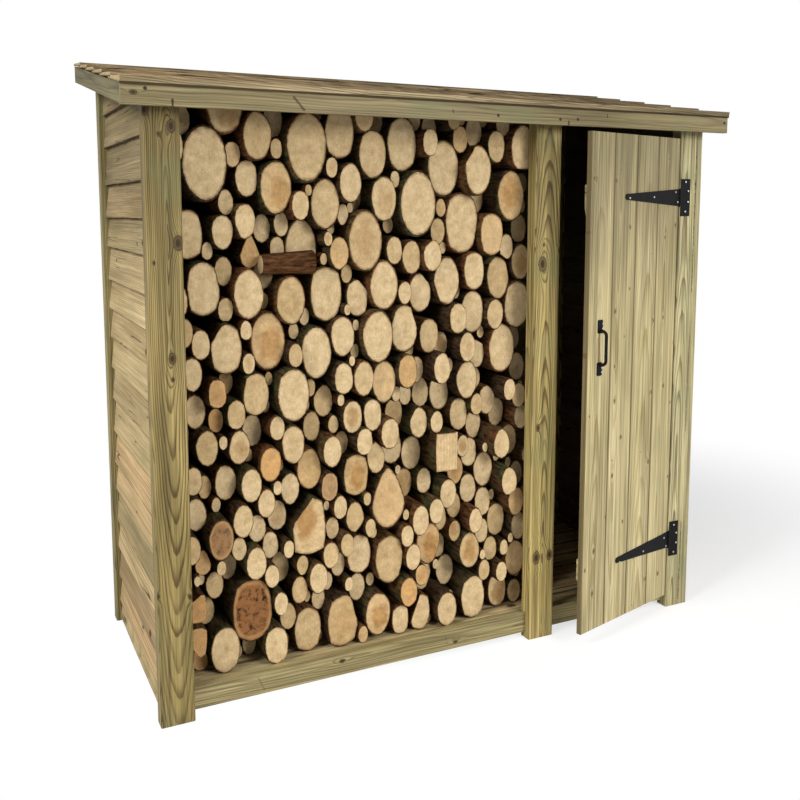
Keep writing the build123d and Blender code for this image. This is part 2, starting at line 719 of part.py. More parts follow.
def fits(stack, spot, radius):
    """True if a billet at this spot is on the floor or above it, in the bay and clear of the others."""
    x, y = spot
    slack = radius - WOOD_TOUCH
    if x < WOOD_LEFT + slack or x > WOOD_RIGHT - slack or y < slack:
        return False
    return all((x - x1) ** 2 + (y - y1) ** 2 > (r1 + slack) ** 2 for x1, y1, r1, _ in stack)


def meets_cross(x, y, radius):
    """True if a billet's cut end would meet the crosswise billet unless it stands behind it."""
    if x + radius < CROSS_START - WOOD_SIDE_GAP or x - radius > CROSS_STOP + WOOD_SIDE_GAP:
        return False
    foot = CROSS_HEIGHT - CROSS_RADIUS
    head = CROSS_HEIGHT + CROSS_RADIUS + WOOD_SIDE_GAP
    return real_height(y + radius) > foot and real_height(y - radius) < head


def stacked_billets():
    """Main billets, then smaller ones in the lowest gaps that take them, as (x, level, radius, end)."""
    chance = Random(WOOD_SEED)
    stack = []
    for across, height, radius, end in MAIN_BILLETS:
        spot = (LEFT + POST_WIDE + across, (height - FLOOR_TOP) / WOOD_STRETCH)
        if fits(stack, spot, radius):
            stack.append((*spot, radius, end))
    radii = list(FILLING_RADII)
    while radii:
        radius = chance.choice(radii)
        spots = sorted(resting_spots(stack, radius), key=lambda spot: spot[1])
        spots = [(x, y) for x, y in spots if real_height(y + radius) < headroom(x, radius)]
        spot = next((spot for spot in spots if fits(stack, spot, radius)), None)
        if spot:
            ends = DEEP_ENDS if meets_cross(*spot, radius) else range(len(BILLET_ENDS))
            stack.append((*spot, radius, chance.choice(ends)))
        else:
            radii.remove(radius)
    return stack


def billet_corners(stack, x, y, radius):
    """Corners of a billet's section as (angle, reach), with one out to each neighbour that it rests on."""
    touching = [(3 * pi / 2, y)] if y < radius + WOOD_NEAR else []
    for x1, y1, r1, _ in stack:
        gap = hypot(x1 - x, y1 - y) - radius - r1
        if -radius < gap < WOOD_NEAR:
            touching.append((atan2(y1 - y, x1 - x) % (2 * pi), radius + gap / 2))
    touching = sorted(touching) or [(pi / 2, radius)]
    corners = []
    for (angle, reach), (following, _) in zip(touching, touching[1:] + [(touching[0][0] + 2 * pi, 0)]):
        turn = following - angle
        steps = max(1, round(turn / WOOD_CORNER_TURN))
        corners.append((angle, reach))
        corners += [(angle + turn * step / steps, radius) for step in range(1, steps)]
    return corners


def billet_section(x, y, radius):
    """Upright outline of one billet's cut end, cut flat where it would meet the roof."""
    head = headroom(x, radius)
    outline = []
    for angle, reach in billet_corners(billets, x, y, radius):
        height = real_height(y + (reach - WOOD_PLAY) * sin(angle))
        outline.append((x + (reach - WOOD_PLAY) * cos(angle), min(height, head)))
    return outline


billets = stacked_billets()
layer_rise = (WOOD_HEAD - FLOOR_TOP) / WOOD_STRETCH / WOOD_LAYERS
for layer in range(WOOD_LAYERS):
    in_layer = [billet for billet in billets if min(int(billet[1] / layer_rise), WOOD_LAYERS - 1) == layer]
    with BuildPart() as firewood:
        for end, (front_setback, back_setback) in enumerate(BILLET_ENDS):
            front = SILL_BACK + front_setback
            with BuildSketch(Plane.XZ.offset(-front)):
                for x, y, radius, billet_end in in_layer:
                    if billet_end == end:
                        with BuildLine():
                            Polyline(*billet_section(x, y, radius), close=True)
                        make_face()
            extrude(amount=front - (BACK - back_setback))
    firewood.part.label = f"firewood_layer_{layer + 1}"
    export_step(firewood.part, f"parts/firewood_layer_{layer + 1}.step")


def cross_seat():
    """Height of the highest billet under the crosswise one."""
    tops = [CROSS_HEIGHT - CROSS_RADIUS]
    for x, y, radius, end in billets:
        if end not in DEEP_ENDS and real_height(y) < CROSS_HEIGHT:
            tops += [top for across, top in billet_section(x, y, radius) if CROSS_START < across < CROSS_STOP]
    return max(tops[1:], default=tops[0])


with BuildPart() as crosswise_billet:
    with BuildSketch(Plane.YZ.offset(CROSS_START)):
        cross_y = SILL_BACK + BILLET_ENDS[0][0] + CROSS_RADIUS
        with Locations((cross_y, cross_seat() + CROSS_RADIUS + 2 * WOOD_PLAY)):
            RegularPolygon(CROSS_RADIUS, CROSS_CORNERS)
    extrude(amount=CROSS_STOP - CROSS_START)
crosswise_billet.part.label = "crosswise_billet"

# ---------------------------------------------------------------- files
for piece in (
    front_left_post,
    front_middle_post,
    front_right_post,
    back_left_post,
    back_middle_post,
    back_right_post,
    front_top_rail,
    back_top_rail,
    left_rafter,
    middle_rafter,
    right_rafter,
    log_bay_sill,
    cupboard_sill,
    log_bay_back_sill,
    cupboard_back_sill,
    left_bottom_rail,
    right_bottom_rail,
    log_bay_bearer,
    middle_bearer,
    log_bay_floor,
    cupboard_floor,
    left_wall,
    right_wall,
    log_bay_back_wall,
    cupboard_back_wall,
    roof_boards,
    front_fascia,
    left_barge_board,
    right_barge_board,
    back_fascia,
    door_boards,
    upper_door_ledge,
    lower_door_ledge,
    door_brace,
    upper_hinge_flap,
    lower_hinge_flap,
    upper_hinge_strap,
    lower_hinge_strap,
    door_handle,
    crosswise_billet,
):
    export_step(piece.part, f"parts/{piece.part.label}.step")
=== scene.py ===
"""Finishes the log store: timber, boards, ironmongery, fixings, firewood and a plain studio."""

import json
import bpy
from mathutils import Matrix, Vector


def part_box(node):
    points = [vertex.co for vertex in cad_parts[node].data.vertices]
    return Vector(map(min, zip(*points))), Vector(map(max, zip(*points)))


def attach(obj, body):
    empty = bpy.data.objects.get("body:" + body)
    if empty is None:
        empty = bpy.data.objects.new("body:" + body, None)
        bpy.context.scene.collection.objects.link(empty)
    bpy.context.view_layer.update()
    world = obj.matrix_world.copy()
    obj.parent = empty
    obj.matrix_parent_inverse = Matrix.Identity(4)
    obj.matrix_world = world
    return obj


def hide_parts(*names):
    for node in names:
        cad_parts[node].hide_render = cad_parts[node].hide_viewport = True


bl_info = {
    "name": "Log Store",
    "version": (1, 0, 0),
    "blender": (4, 5, 0),
    "location": "3D View > Sidebar > Log Store",
    "description": "Timber, boards, ironmongery, firewood and a plain studio for a log store",
    "category": "Object",
}

from math import cos, pi, radians, sin
from random import Random

import bmesh
import bpy
import numpy as np
from bpy.props import FloatProperty, FloatVectorProperty, IntProperty, PointerProperty
from mathutils import Euler, Matrix, Vector

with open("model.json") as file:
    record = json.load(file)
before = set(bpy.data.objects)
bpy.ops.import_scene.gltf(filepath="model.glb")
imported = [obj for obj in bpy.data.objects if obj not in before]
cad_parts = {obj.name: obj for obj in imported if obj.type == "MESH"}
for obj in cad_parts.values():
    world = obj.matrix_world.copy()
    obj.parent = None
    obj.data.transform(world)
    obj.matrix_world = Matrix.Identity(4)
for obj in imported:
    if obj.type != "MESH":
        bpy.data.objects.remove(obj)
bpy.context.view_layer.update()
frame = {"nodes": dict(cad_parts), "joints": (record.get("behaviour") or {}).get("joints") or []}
NODES = frame["nodes"]

SWING = next(joint for joint in frame["joints"] if joint["name"] == "door_swing")
PIN = Vector(SWING["pos_m"])
DOOR_AJAR = -SWING["range_deg"][0]
ROOF_PITCH = 10.2
TALLER = 1.61           # height of a billet's end over its width
WHOLE = 9.0             # stands for a split or a flat top that a billet doesn't have
WALL_LAP = 0.028        # how far a wall board reaches up behind the next one's foot
ROOF_LAP = 0.03
EAVES_TOP = 1.62        # height where the shade below the eaves is full
DOOR_BOARD = 0.117      # cover of one matchboard
DOOR_EDGE = 0.0035      # from the pin to the first matchboard's edge
HINGE_HEIGHTS = (1.416, 0.245)
SCREWS_OUT = 0.0070     # how far in front of the pin the screws on the door stand
NATURAL = 2.718         # base of the knots' bell-shaped humps
THIN_STICK = 0.0100     # radius of the thinnest stick
RING = 0.0046           # width of a growth ring
GOLDEN = 0.6180339      # spreads the boards' chance numbers evenly
GAP_GRID = 0.003        # spacing of the grid that finds gaps in the stack
WHITE = (1.0, 1.0, 1.0, 1.0)
FORWARD = (0.0, -1.0, 0.0)


# ---------------------------------------------------------------- node trees

class Value:
    """A node's output. + - * / ** and abs on it add the node that works them out."""

    def __init__(self, graph, socket):
        self.graph = graph
        self.socket = socket

    def work(self, operation, *feeds):
        kinds = [feed.socket.type if isinstance(feed, Value) else type(feed) for feed in feeds]
        if any(kind in ("VECTOR", "RGBA", tuple) for kind in kinds):
            return self.graph.vector(operation, *feeds)
        return self.graph.math(operation, *feeds)

    def __add__(self, other):
        return self.work("ADD", self, other)

    def __sub__(self, other):
        return self.work("SUBTRACT", self, other)

    def __rsub__(self, other):
        return self.work("SUBTRACT", other, self)

    def __mul__(self, other):
        return self.work("MULTIPLY", self, other)

    def __rmul__(self, other):
        return self.work("MULTIPLY", other, self)

    def __truediv__(self, other):
        return self.work("DIVIDE", self, other)

    def __rtruediv__(self, other):
        return self.work("DIVIDE", other, self)

    def __pow__(self, other):
        return self.work("POWER", self, other)

    def __rpow__(self, other):
        return self.work("POWER", other, self)

    def __abs__(self):
        return self.work("ABSOLUTE", self)


class Graph:
    """Adds nodes to a tree. A number, a tuple, a socket or a Value may feed any input."""

    def __init__(self, tree):
        self.tree = tree

    def feed(self, socket, value):
        if isinstance(value, Value):
            value = value.socket
        if isinstance(value, bpy.types.NodeSocket):
            self.tree.links.new(value, socket)
        elif value is not None:
            socket.default_value = value

    def feed_all(self, node, **feeds):
        for name, value in feeds.items():
            self.feed(node.inputs[name.replace("_", " ")], value)

    def node(self, kind, feeds=(), **settings):
        made = self.tree.nodes.new(kind)
        for name, value in settings.items():
            setattr(made, name, value)
        for place, value in feeds.items() if isinstance(feeds, dict) else enumerate(feeds):
            self.feed(made.inputs[place], value)
        return made

    def value(self, kind, feeds=(), out=0, **settings):
        return Value(self, self.node(kind, feeds, **settings).outputs[out])

    def values(self, outputs):
        return {socket.name: Value(self, socket) for socket in outputs}

    def math(self, operation, *feeds, clamp=False):
        return self.value("ShaderNodeMath", feeds, operation=operation, use_clamp=clamp)

    def vector(self, operation, *feeds):
        number = operation in ("LENGTH", "DISTANCE", "DOT_PRODUCT")
        return self.value("ShaderNodeVectorMath", feeds, "Value" if number else "Vector",
                          operation=operation)

    def noise(self, place, scale, detail=2.0, roughness=0.5, distortion=0.0, out="Fac"):
        feeds = {"Vector": place, "Scale": scale, "Detail": detail,
                 "Roughness": roughness, "Distortion": distortion}
        return self.value("ShaderNodeTexNoise", feeds, out)

    def coords(self):
        return self.value("ShaderNodeTexCoord", out="Object")

    def split(self, vector):
        return list(self.values(self.node("ShaderNodeSeparateXYZ", [vector]).outputs).values())

    def join(self, x, y, z):
        return self.value("ShaderNodeCombineXYZ", [x, y, z])

    def triple(self, value):
        return self.join(value, value, value)

    def span(self, value, low, high, to_low=0.0, to_high=1.0, kind="SMOOTHSTEP"):
        feeds = [value, low, high, to_low, to_high]
        return self.value("ShaderNodeMapRange", feeds, interpolation_type=kind)

    def ramp(self, *feeds):
        return self.span(*feeds, kind="LINEAR")

    def mix(self, share, first, second, blend="MIX"):
        feeds = {0: share, 6: first, 7: second}
        return self.value("ShaderNodeMix", feeds, 2, data_type="RGBA", blend_type=blend)

    def tint(self, colour, *by):
        """The colour times one number, or times one for each of red, green and blue."""
        return self.mix(1.0, colour, self.join(*(by * 3 if len(by) == 1 else by)), "MULTIPLY")

    def blend(self, share, first, second):
        return self.value("ShaderNodeMix", {0: share, 2: first, 3: second}, data_type="FLOAT")

    def turned(self, vector, axis, angle):
        return self.value("ShaderNodeVectorRotate", {"Vector": vector, "Angle": angle},
                          rotation_type=axis + "_AXIS")

    def attribute(self, name, out="Fac"):
        return self.value("ShaderNodeAttribute", out=out, attribute_name=name)

    def relief(self, shader, strength, distance, height):
        bump = self.node("ShaderNodeBump", {"Strength": strength, "Distance": distance,
                                            "Height": height})
        self.feed(shader.inputs["Normal"], bump.outputs[0])

    def real(self, instances):
        return self.value("GeometryNodeRealizeInstances", [instances])

    def paint(self, geometry, material, **more):
        feeds = {"Geometry": geometry, "Material": material, **more}
        return self.value("GeometryNodeSetMaterial", feeds)

    def group(self, tree, **feeds):
        made = self.tree.nodes.new(type(self.tree).__name__.replace("NodeTree", "NodeGroup"))
        made.node_tree = tree
        self.feed_all(made, **feeds)
        return self.values(made.outputs)


def rgb(colour, *by):
    """A colour as a shader takes it, times one number, or times one for each channel."""
    by = by * 3 if len(by) == 1 else by or (1.0, 1.0, 1.0)
    return tuple(c * k for c, k in zip(colour, by)) + (1.0,)


KINDS = {float: "Float", int: "Int", tuple: "Vector"}


def new_group(name, kind, inputs, outputs):
    """An empty node group. An input is a name with its default, or with its kind of socket."""
    tree = bpy.data.node_groups.new(name, kind)
    for label, default in inputs.items():
        socket = default if isinstance(default, str) else KINDS[type(default)]
        made = tree.interface.new_socket(label, in_out="INPUT", socket_type="NodeSocket" + socket)
        if socket != default:
            made.default_value = default
    for label, socket in outputs.items():
        tree.interface.new_socket(label, in_out="OUTPUT", socket_type="NodeSocket" + socket)
    graph = Graph(tree)
    given = graph.values(tree.nodes.new("NodeGroupInput").outputs)
    result = tree.nodes.new("NodeGroupOutput").inputs
    return tree, graph, given, result


def grain_group():
    """Growth rings as the surface cuts them, fibres along the grain and slow changes of tone."""
    tree, g, given, result = new_group(
        "Grain", "ShaderNodeTree",
        {"Place": "Vector", "Seed": 0.0, "Heart": (0.0, 0.05, 0.0), "Taper": 0.04, "Ring": 0.005,
         "Waver": 0.012, "Bend": 0.0},
        {"Rings": "Float", "Fibre": "Float", "Tone": "Float", "Streak": "Float"})
    shifted = given["Place"] + g.triple(given["Seed"])
    slow = g.noise(shifted * (5.0, 5.0, 2.6), 1.0, 2.0, 0.5, 0.0, "Color")
    sway = (slow - (0.5, 0.5, 0.5)) * g.join(given["Waver"], given["Waver"], 0.0)
    place = g.split(given["Place"] - given["Heart"] + sway)
    depth = place[1] + place[2] * given["Taper"]
    radius = g.vector("LENGTH", g.join(place[0], depth, 0.0))
    fine = g.noise(shifted * (90.0, 90.0, 6.0), 1.0, 3.0, 0.6)
    radius = radius + (fine - 0.5) * 0.0022
    radius = radius + given["Bend"]
    turns = radius / given["Ring"]
    turn = g.math("FRACT", turns)
    late = g.span(turn, 0.3, 0.9) ** 1.6 * g.span(turn, 0.93, 1.0, 1.0, 0.0)
    year = g.noise(g.join(g.math("FLOOR", turns), given["Seed"], 0.0), 0.73, 0.0)
    g.feed(result["Rings"], late * g.ramp(year, 0.3, 0.7, 0.55, 1.15))
    fibre = g.noise(shifted * (380.0, 380.0, 5.0), 1.0, 4.0, 0.7)
    g.feed(result["Fibre"], fibre)
    g.feed(result["Tone"], g.noise(shifted * (9.0, 9.0, 1.6), 1.0, 3.0, 0.55))
    g.feed(result["Streak"], g.noise(shifted * (120.0, 120.0, 2.2), 1.0, 2.0, 0.6))
    return tree


def knot_group():
    """One knot: how far it pushes the rings aside, and how nearly a point lies on it."""
    tree, g, given, result = new_group(
        "Knot", "ShaderNodeTree",
        {"Place": "Vector", "At": "Vector", "Size": 0.01, "Bend": 0.0, "Near": 0.0},
        {"Bend": "Float", "Near": "Float"})
    away = (given["Place"] - given["At"]) * (1.0, 1.0, 0.62)
    ragged = g.noise(given["Place"], 130.0, 2.0)
    gap = g.vector("LENGTH", away) / given["Size"]
    gap = gap + (ragged - 0.5) * 0.35
    wide = g.vector("LENGTH", away * (0.62, 0.62, 0.42)) / given["Size"]
    hump = NATURAL ** (wide * wide * -1.0)
    push = hump * given["Size"] * -1.1
    g.feed(result["Bend"], given["Bend"] + push)
    g.feed(result["Near"], g.math("MAXIMUM", given["Near"], 2.0 - gap))
    return tree


def scattered_knots_group():
    """Knots strewn over a board face, one to a cell of the given width and height."""
    tree, g, given, result = new_group(
        "Scattered knots", "ShaderNodeTree",
        {"Place": "Vector", "Seed": 0.0, "Wide": 0.1, "Tall": 0.25, "Size": 0.008, "Share": 0.6},
        {"Bend": "Float", "Near": "Float"})
    place = g.split(given["Place"])
    along = place[2] / given["Tall"] + given["Seed"] * 17.3
    across = place[0] / given["Wide"] + given["Seed"] * 5.7
    cell = g.node("ShaderNodeTexVoronoi", {"Vector": g.join(across, along, 0.0), "Scale": 1.0,
                                           "Randomness": 0.9}, voronoi_dimensions="2D")
    gap = g.split(g.join(across, along, 0.0) - cell.outputs["Position"])
    chance = g.split(cell.outputs["Color"])
    size = given["Size"] * (chance[1] * 0.9 + 0.35)
    real = g.join(gap[0] * given["Wide"], gap[1] * given["Tall"] * 0.62, 0.0)
    here = g.math("LESS_THAN", chance[0], given["Share"])
    ragged = (g.noise(given["Place"], 150.0, 2.0) - 0.5) * 0.5
    near = g.vector("LENGTH", real) / size + ragged
    wide = g.vector("LENGTH", real) / size * 0.55
    hump = NATURAL ** (wide * wide * -1.0)
    push = hump * size * (here * -1.1)
    g.feed(result["Bend"], push)
    g.feed(result["Near"], here * (2.0 - near))
    return tree


SHARED = {}


def shared(name, maker):
    if name not in SHARED:
        SHARED[name] = maker()
    return SHARED[name]


def new_material(name):
    material = bpy.data.materials.new(name)
    material.use_nodes = True
    shader = material.node_tree.nodes["Principled BSDF"]
    return material, Graph(material.node_tree), shader


def grain_space(g, centre, axis, turn=0.0):
    """Coordinates about a piece's centre with the grain running along the third of them."""
    place = g.coords()
    place = place - tuple(centre)
    if turn:
        place = g.turned(place, "X" if axis == "Y" else "Y" if axis == "X" else "Z", turn)
    x, y, z = g.split(place)
    return g.join(y, z, x) if axis == "X" else g.join(x, z, y) if axis == "Y" else g.join(x, y, z)


def paint_timber(g, shader, light, dark, knot, grain, near, green=0.25, depth=0.25, rough=0.62,
                 lines=0.6, eaves=None):
    """Joins rings, fibres, knots and slow changes of tone into colour, roughness and relief."""
    colour = g.mix(grain["Rings"] * lines, rgb(light), rgb(dark))
    tone = g.ramp(grain["Tone"], 0.32, 0.68, 0.76, 1.18)
    colour = g.tint(colour, tone, tone, tone ** 1.25)
    fibre = g.ramp(grain["Fibre"], 0.32, 0.68, 0.8, 1.16)
    fibre = fibre * g.ramp(grain["Streak"], 0.32, 0.68, 1.0 - 0.43 * lines, 1.0 + 0.33 * lines)
    # Painted shade below the eaves: darker from the height eaves[0] up to EAVES_TOP, where it
    # reaches the factor eaves[1]
    if eaves:
        height = g.split(g.coords())[2]
        fibre = fibre * g.span(height, eaves[0], EAVES_TOP, 1.0, eaves[1])
    colour = g.tint(colour, fibre)
    cast = g.span(g.noise(g.coords(), 7.0, 3.0), 0.5, 0.72) * green
    colour = g.mix(cast, colour, (0.145, 0.185, 0.085, 1.0))
    halo = g.span(near, 0.45, 1.0) * 0.3
    colour = g.mix(halo, colour, rgb([0.75 * a + 0.25 * b for a, b in zip(dark, knot)]))
    core = g.span(near, 0.97, 1.07)
    wood = g.mix(g.span(near, 1.30, 1.68), rgb([0.55 * a + 0.45 * b for a, b in zip(dark, knot)]),
                 rgb(knot, 0.3))
    year = g.span(g.math("SINE", near * 30.0), 0.2, 1.0) * 0.5
    wood = g.mix(year, wood, rgb(knot, 0.5))
    colour = g.mix(core * 0.92, colour, wood)
    rind = core * g.span(near, 1.07, 1.2, 1.0, 0.0)
    colour = g.mix(rind * 0.8, colour, rgb(knot, 0.4))
    g.feed(shader.inputs["Base Color"], colour)
    g.feed(shader.inputs["Roughness"], g.ramp(grain["Fibre"], 0.2, 0.8, rough - 0.08, rough + 0.12))
    height = grain["Rings"] * 0.35 + grain["Fibre"] * 0.65
    height = height - core * 0.4
    g.relief(shader, depth, 0.0012, height)
    return colour


def planed_material(name, settings, centre, axis, seed, heart, taper, knots, turn, lines, tint,
                    eaves, cracks):
    """Planed, pressure-treated softwood for one length of timber, with its own knots."""
    material, g, shader = new_material(name)
    place = grain_space(g, centre, axis, turn)
    bend, near = 0.0, 0.0
    for *at, size in knots:
        made = g.group(shared("Knot", knot_group), Place=place, At=tuple(at), Size=size,
                       Bend=bend, Near=near)
        bend, near = made["Bend"], made["Near"]
    grain = g.group(shared("Grain", grain_group), Place=place, Seed=seed * 3.71,
                    Heart=(*heart, 0.0), Taper=taper, Ring=RING, Waver=0.016, Bend=bend)
    if not knots:
        near = grain["Tone"] * 0.0
    # The tint holds the timber's own tone together with painted light and shade
    light = [c * k for c, k in zip(settings.planed_light, tint)]
    dark = [c * k for c, k in zip(settings.planed_dark, tint)]
    colour = paint_timber(g, shader, light, dark, settings.knot, grain, near, lines=1.9 * lines,
                          eaves=eaves)
    where = g.coords()
    ragged = (g.noise(where, 90.0, 3.0, 0.7) - 0.5) * 0.006
    for start, stop, width, share in cracks:
        run = Vector((stop[0] - start[0], 0.0, stop[1] - start[1]))
        aside = (where - (start[0], 0.0, start[1])) * (1.0, 0.0, 1.0)
        reach = g.math("DIVIDE", g.vector("DOT_PRODUCT", aside, tuple(run)), run.length_squared,
                       clamp=True)
        nearest = tuple(run) * g.triple(reach)
        gap = g.vector("LENGTH", aside - nearest) + ragged
        colour = g.mix(g.span(gap, 0.4 * width, width, share, 0.0), colour,
                       rgb(settings.knot, 0.5))
    g.feed_all(shader, Base_Color=colour, Specular_IOR_Level=0.2)
    return material


def board_material(name, light, dark, settings, worn, lines, relief, eaves=None, lip=0.5,
                   fade=1.0):
    """Rough-sawn boards that each carry their own grain, tone, knots, splits and pale sawn ends,
    with dirt and painted shade at the laps, painted shade on the inner faces, and where asked
    painted shade below the eaves and towards the right.
    """
    material, g, shader = new_material(name)
    board = g.attribute("board")
    place = g.attribute("along", "Vector") + g.join(0.0, 0.0, board * 9.0)
    knots = g.group(shared("Scattered knots", scattered_knots_group), Place=place, Seed=board,
                    Wide=0.11, Tall=0.34, Size=0.010, Share=0.45)
    heart = g.join(g.ramp(board, 0.0, 1.0, -0.04, 0.04), 0.012, 0.0)
    grain = g.group(shared("Grain", grain_group), Place=place, Seed=board * 41.0, Heart=heart,
                    Taper=0.05, Ring=0.006, Waver=0.03, Bend=knots["Bend"])
    colour = paint_timber(g, shader, light, dark, settings.knot, grain, knots["Near"], 0.1, relief,
                          0.8, lines, eaves)
    streak = g.noise(place * (60.0, 60.0, 1.8), 1.0, 3.0, 0.6)
    streak = g.ramp(streak, 0.3, 0.7, 1.0 - worn, 1.0 + 0.45 * worn)
    colour = g.tint(colour, streak)
    chance = g.math("FRACT", board * 7.7)
    own = g.ramp(chance, 0.0, 1.0, 0.78, 1.18)
    pink = g.ramp(g.math("FRACT", board * 13.3), 0.3, 1.0, 1.03, 0.92)
    colour = g.tint(colour, own, own * pink, own * pink)
    seam = g.noise(place * (46.0, 46.0, 1.7), 1.0, 1.0, 0.4, 0.2)
    split = g.span(abs(seam - 0.5), 0.003, 0.016, 1.0, 0.0)
    where = g.span(g.noise(place * (16.0, 16.0, 5.0), 1.0, 1.0), 0.56, 0.64)
    split = split * where
    colour = g.mix(split * 0.85, colour, (0.045, 0.028, 0.014, 1.0))
    saw = g.noise(place * (10.0, 10.0, 190.0), 1.0, 2.0, 0.6)
    end = g.span(g.split(g.attribute("along", "Vector"))[2], 0.0003, 0.0012, 1.0, 0.0)
    colour = g.mix(end * 0.7, colour, rgb(settings.rough_light, 0.8))
    under, above, inner = g.split(g.attribute("laps", "Vector"))
    # Dirt and painted shade on each board just below where the next board laps over it
    lap_shade_and_dirt = g.span(abs(under), 0.001, 0.012, 0.78, 0.0)
    lap_shade_and_dirt = lap_shade_and_dirt * g.span(g.noise(place, 30.0, 2.0), 0.3, 0.6, 0.5, 1.0)
    # Painted shadow along the lowest few millimetres of each board, at its foot, under the lap
    edge = g.span(above, 0.0004, 0.0030, lip, 0.0)
    # Painted shadow on the back of each board's foot, where it sits on what lies below
    seat_shade = g.span(g.split(g.attribute("along", "Vector"))[1], 0.0045, 0.0065, 0.95, 0.0)
    seat_shade = seat_shade * g.span(above, 0.004, 0.008, 1.0, 0.0)
    # Lap dirt and the painted shades joined into one share of the dark colour
    dirt_and_shade_share = g.math("MAXIMUM", g.math("MAXIMUM", lap_shade_and_dirt, edge), seat_shade)
    # Shade painted on the inner faces, so that the cupboard reads as dark
    dirt_and_shade_share = g.math("MAXIMUM", dirt_and_shade_share, g.span(inner, 0.5, 0.95, 0.0, 0.8))
    colour = g.mix(dirt_and_shade_share, colour, rgb(settings.rough_dark, 0.14))
    # Painted light and shade: lighter at the left and darker at the right, down to the factor fade
    if fade < 1.0:
        side = g.ramp(g.split(g.coords())[0], -0.75, 0.75, 1.08, fade)
        colour = g.tint(colour, side)
    torn = g.noise(place * (210.0, 210.0, 16.0), 1.0, 4.0, 0.7)
    height = saw * 0.22 + torn
    height = height - split * 1.8
    g.relief(shader, relief, 0.0024, height)
    g.feed_all(shader, Base_Color=colour, Specular_IOR_Level=0.15)
    return material


def wall_material(settings):
    """Tan sawn cladding, which the slatted floors share."""
    # The last pair paints shade below the eaves: the height where it starts, and its factor at the
    # top
    return board_material("Rough-sawn boards", settings.rough_light, settings.rough_dark, settings,
                          0.24, 0.5, 0.6, (0.95, 0.45))


def roof_material(settings):
    """The roof boards' darker, worn finish, with painted shade that darkens it towards the right.
    """
    return board_material("Weathered roof boards", settings.roof_light, settings.roof_dark,
                          settings, 0.55, 0.95, 1.0, lip=0.1, fade=0.74)


# ---------------------------------------------------------------- settings

def colour_property(name, description, *default):
    return FloatVectorProperty(name=name, description=description, subtype="COLOR", size=3,
                               min=0.0, max=1.0, default=default)


def length_property(name, description, default, low, high):
    return FloatProperty(name=name, description=description, subtype="DISTANCE", unit="LENGTH",
                         min=low, max=high, default=default)


class LogStoreSettings(bpy.types.PropertyGroup):
    """Colours and sizes of the log store's finish."""

    planed_light: colour_property(
        "Planed timber", "Earlywood of the planed, treated frame", 0.372, 0.292, 0.114)
    planed_dark: colour_property(
        "Planed timber lines", "Latewood lines of the planed frame", 0.150, 0.102, 0.038)
    door_light: colour_property(
        "Door timber", "Earlywood of the door's matchboards", 0.560, 0.470, 0.250)
    door_dark: colour_property(
        "Door timber lines", "Latewood lines of the door's matchboards", 0.400, 0.300, 0.125)
    rough_light: colour_property(
        "Rough boards", "Sawn face of the wall and roof boards", 0.618, 0.462, 0.238)
    rough_dark: colour_property(
        "Rough board lines", "Darker grain of the wall and roof boards", 0.300, 0.195, 0.090)
    roof_light: colour_property(
        "Roof boards", "Weathered face of the roof boards", 0.410, 0.310, 0.175)
    roof_dark: colour_property(
        "Roof board lines", "Darker grain of the roof boards", 0.160, 0.115, 0.062)
    knot: colour_property("Knots", "Heart of the knots", 0.070, 0.042, 0.018)
    end_grain: colour_property("Sawn ends", "Fresh sawn ends of the billets", 0.668, 0.500, 0.280)
    bark: colour_property("Bark", "Bark on the billets", 0.044, 0.026, 0.013)
    iron: colour_property("Ironmongery", "Black coat on hinges and handle", 0.005, 0.005, 0.005)
    board_waver: length_property(
        "Board waver", "How far a rough board's edge strays from straight", 0.0035, 0.0, 0.01)
    screw_head: length_property("Screw head", "Radius of a screw's head", 0.0032, 0.001, 0.01)
    nail_head: length_property("Nail head", "Radius of a nail's head", 0.0048, 0.001, 0.01)
    billet_sides: IntProperty(
        name="Billet sides", description="Flats round a thick billet", min=10, max=40, default=24)
    billet_sway: length_property(
        "Billet sway", "How far a billet strays from round", 0.009, 0.0, 0.02)


# ---------------------------------------------------------------- pieces

class Step:
    """What the operators share."""
    bl_options = {"REGISTER", "UNDO"}


def link(name, mesh):
    piece = bpy.data.objects.new(name, mesh)
    bpy.context.scene.collection.objects.link(piece)
    return piece


def finish_piece(piece, body, nodes=()):
    """Puts a finished piece on its body and hides the frame nodes it stands for."""
    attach(piece, body)
    if nodes:
        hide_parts(*nodes)
    return piece


def run_tree(name, points, attributes, tree, inputs):
    """Runs a tree on loose points and returns the result as a plain mesh object."""
    mesh = bpy.data.meshes.new(name)
    mesh.from_pydata([tuple(p) for p in points], [], [])
    for label, values in attributes.items():
        single = np.ndim(values) == 1
        layer = mesh.attributes.new(label, "FLOAT" if single else "FLOAT_VECTOR", "POINT")
        layer.data.foreach_set("value" if single else "vector", np.ravel(values).astype(float))
    source = link(name + " points", mesh)
    modifier = source.modifiers.new("Shape", "NODES")
    modifier.node_group = tree
    sockets = {item.name: item.identifier for item in tree.interface.items_tree
               if item.item_type == "SOCKET" and item.in_out == "INPUT"}
    for label, value in inputs.items():
        modifier[sockets[label]] = value
    graph = bpy.context.evaluated_depsgraph_get()
    graph.update()
    result = bpy.data.meshes.new_from_object(source.evaluated_get(graph),
                                             preserve_all_data_layers=True, depsgraph=graph)
    source.modifiers.remove(modifier)
    bpy.data.objects.remove(source)
    if not result.vertices:
        raise RuntimeError(f"{name}: the tree made nothing")
    result.name = name
    return link(name, result)


def geometry_tree(name, inputs):
    return new_group(name, "GeometryNodeTree", {"Geometry": "Geometry", **inputs},
                     {"Geometry": "Geometry"})


def named(g, name, kind="FLOAT"):
    return g.value("GeometryNodeInputNamedAttribute", {"Name": name}, data_type=kind)


def store(g, geometry, name, value, kind="FLOAT", domain="POINT"):
    made = g.node("GeometryNodeStoreNamedAttribute", {"Geometry": geometry, "Name": name},
                  data_type=kind, domain=domain)
    g.feed(made.inputs["Value"], value)
    return made.outputs[0]


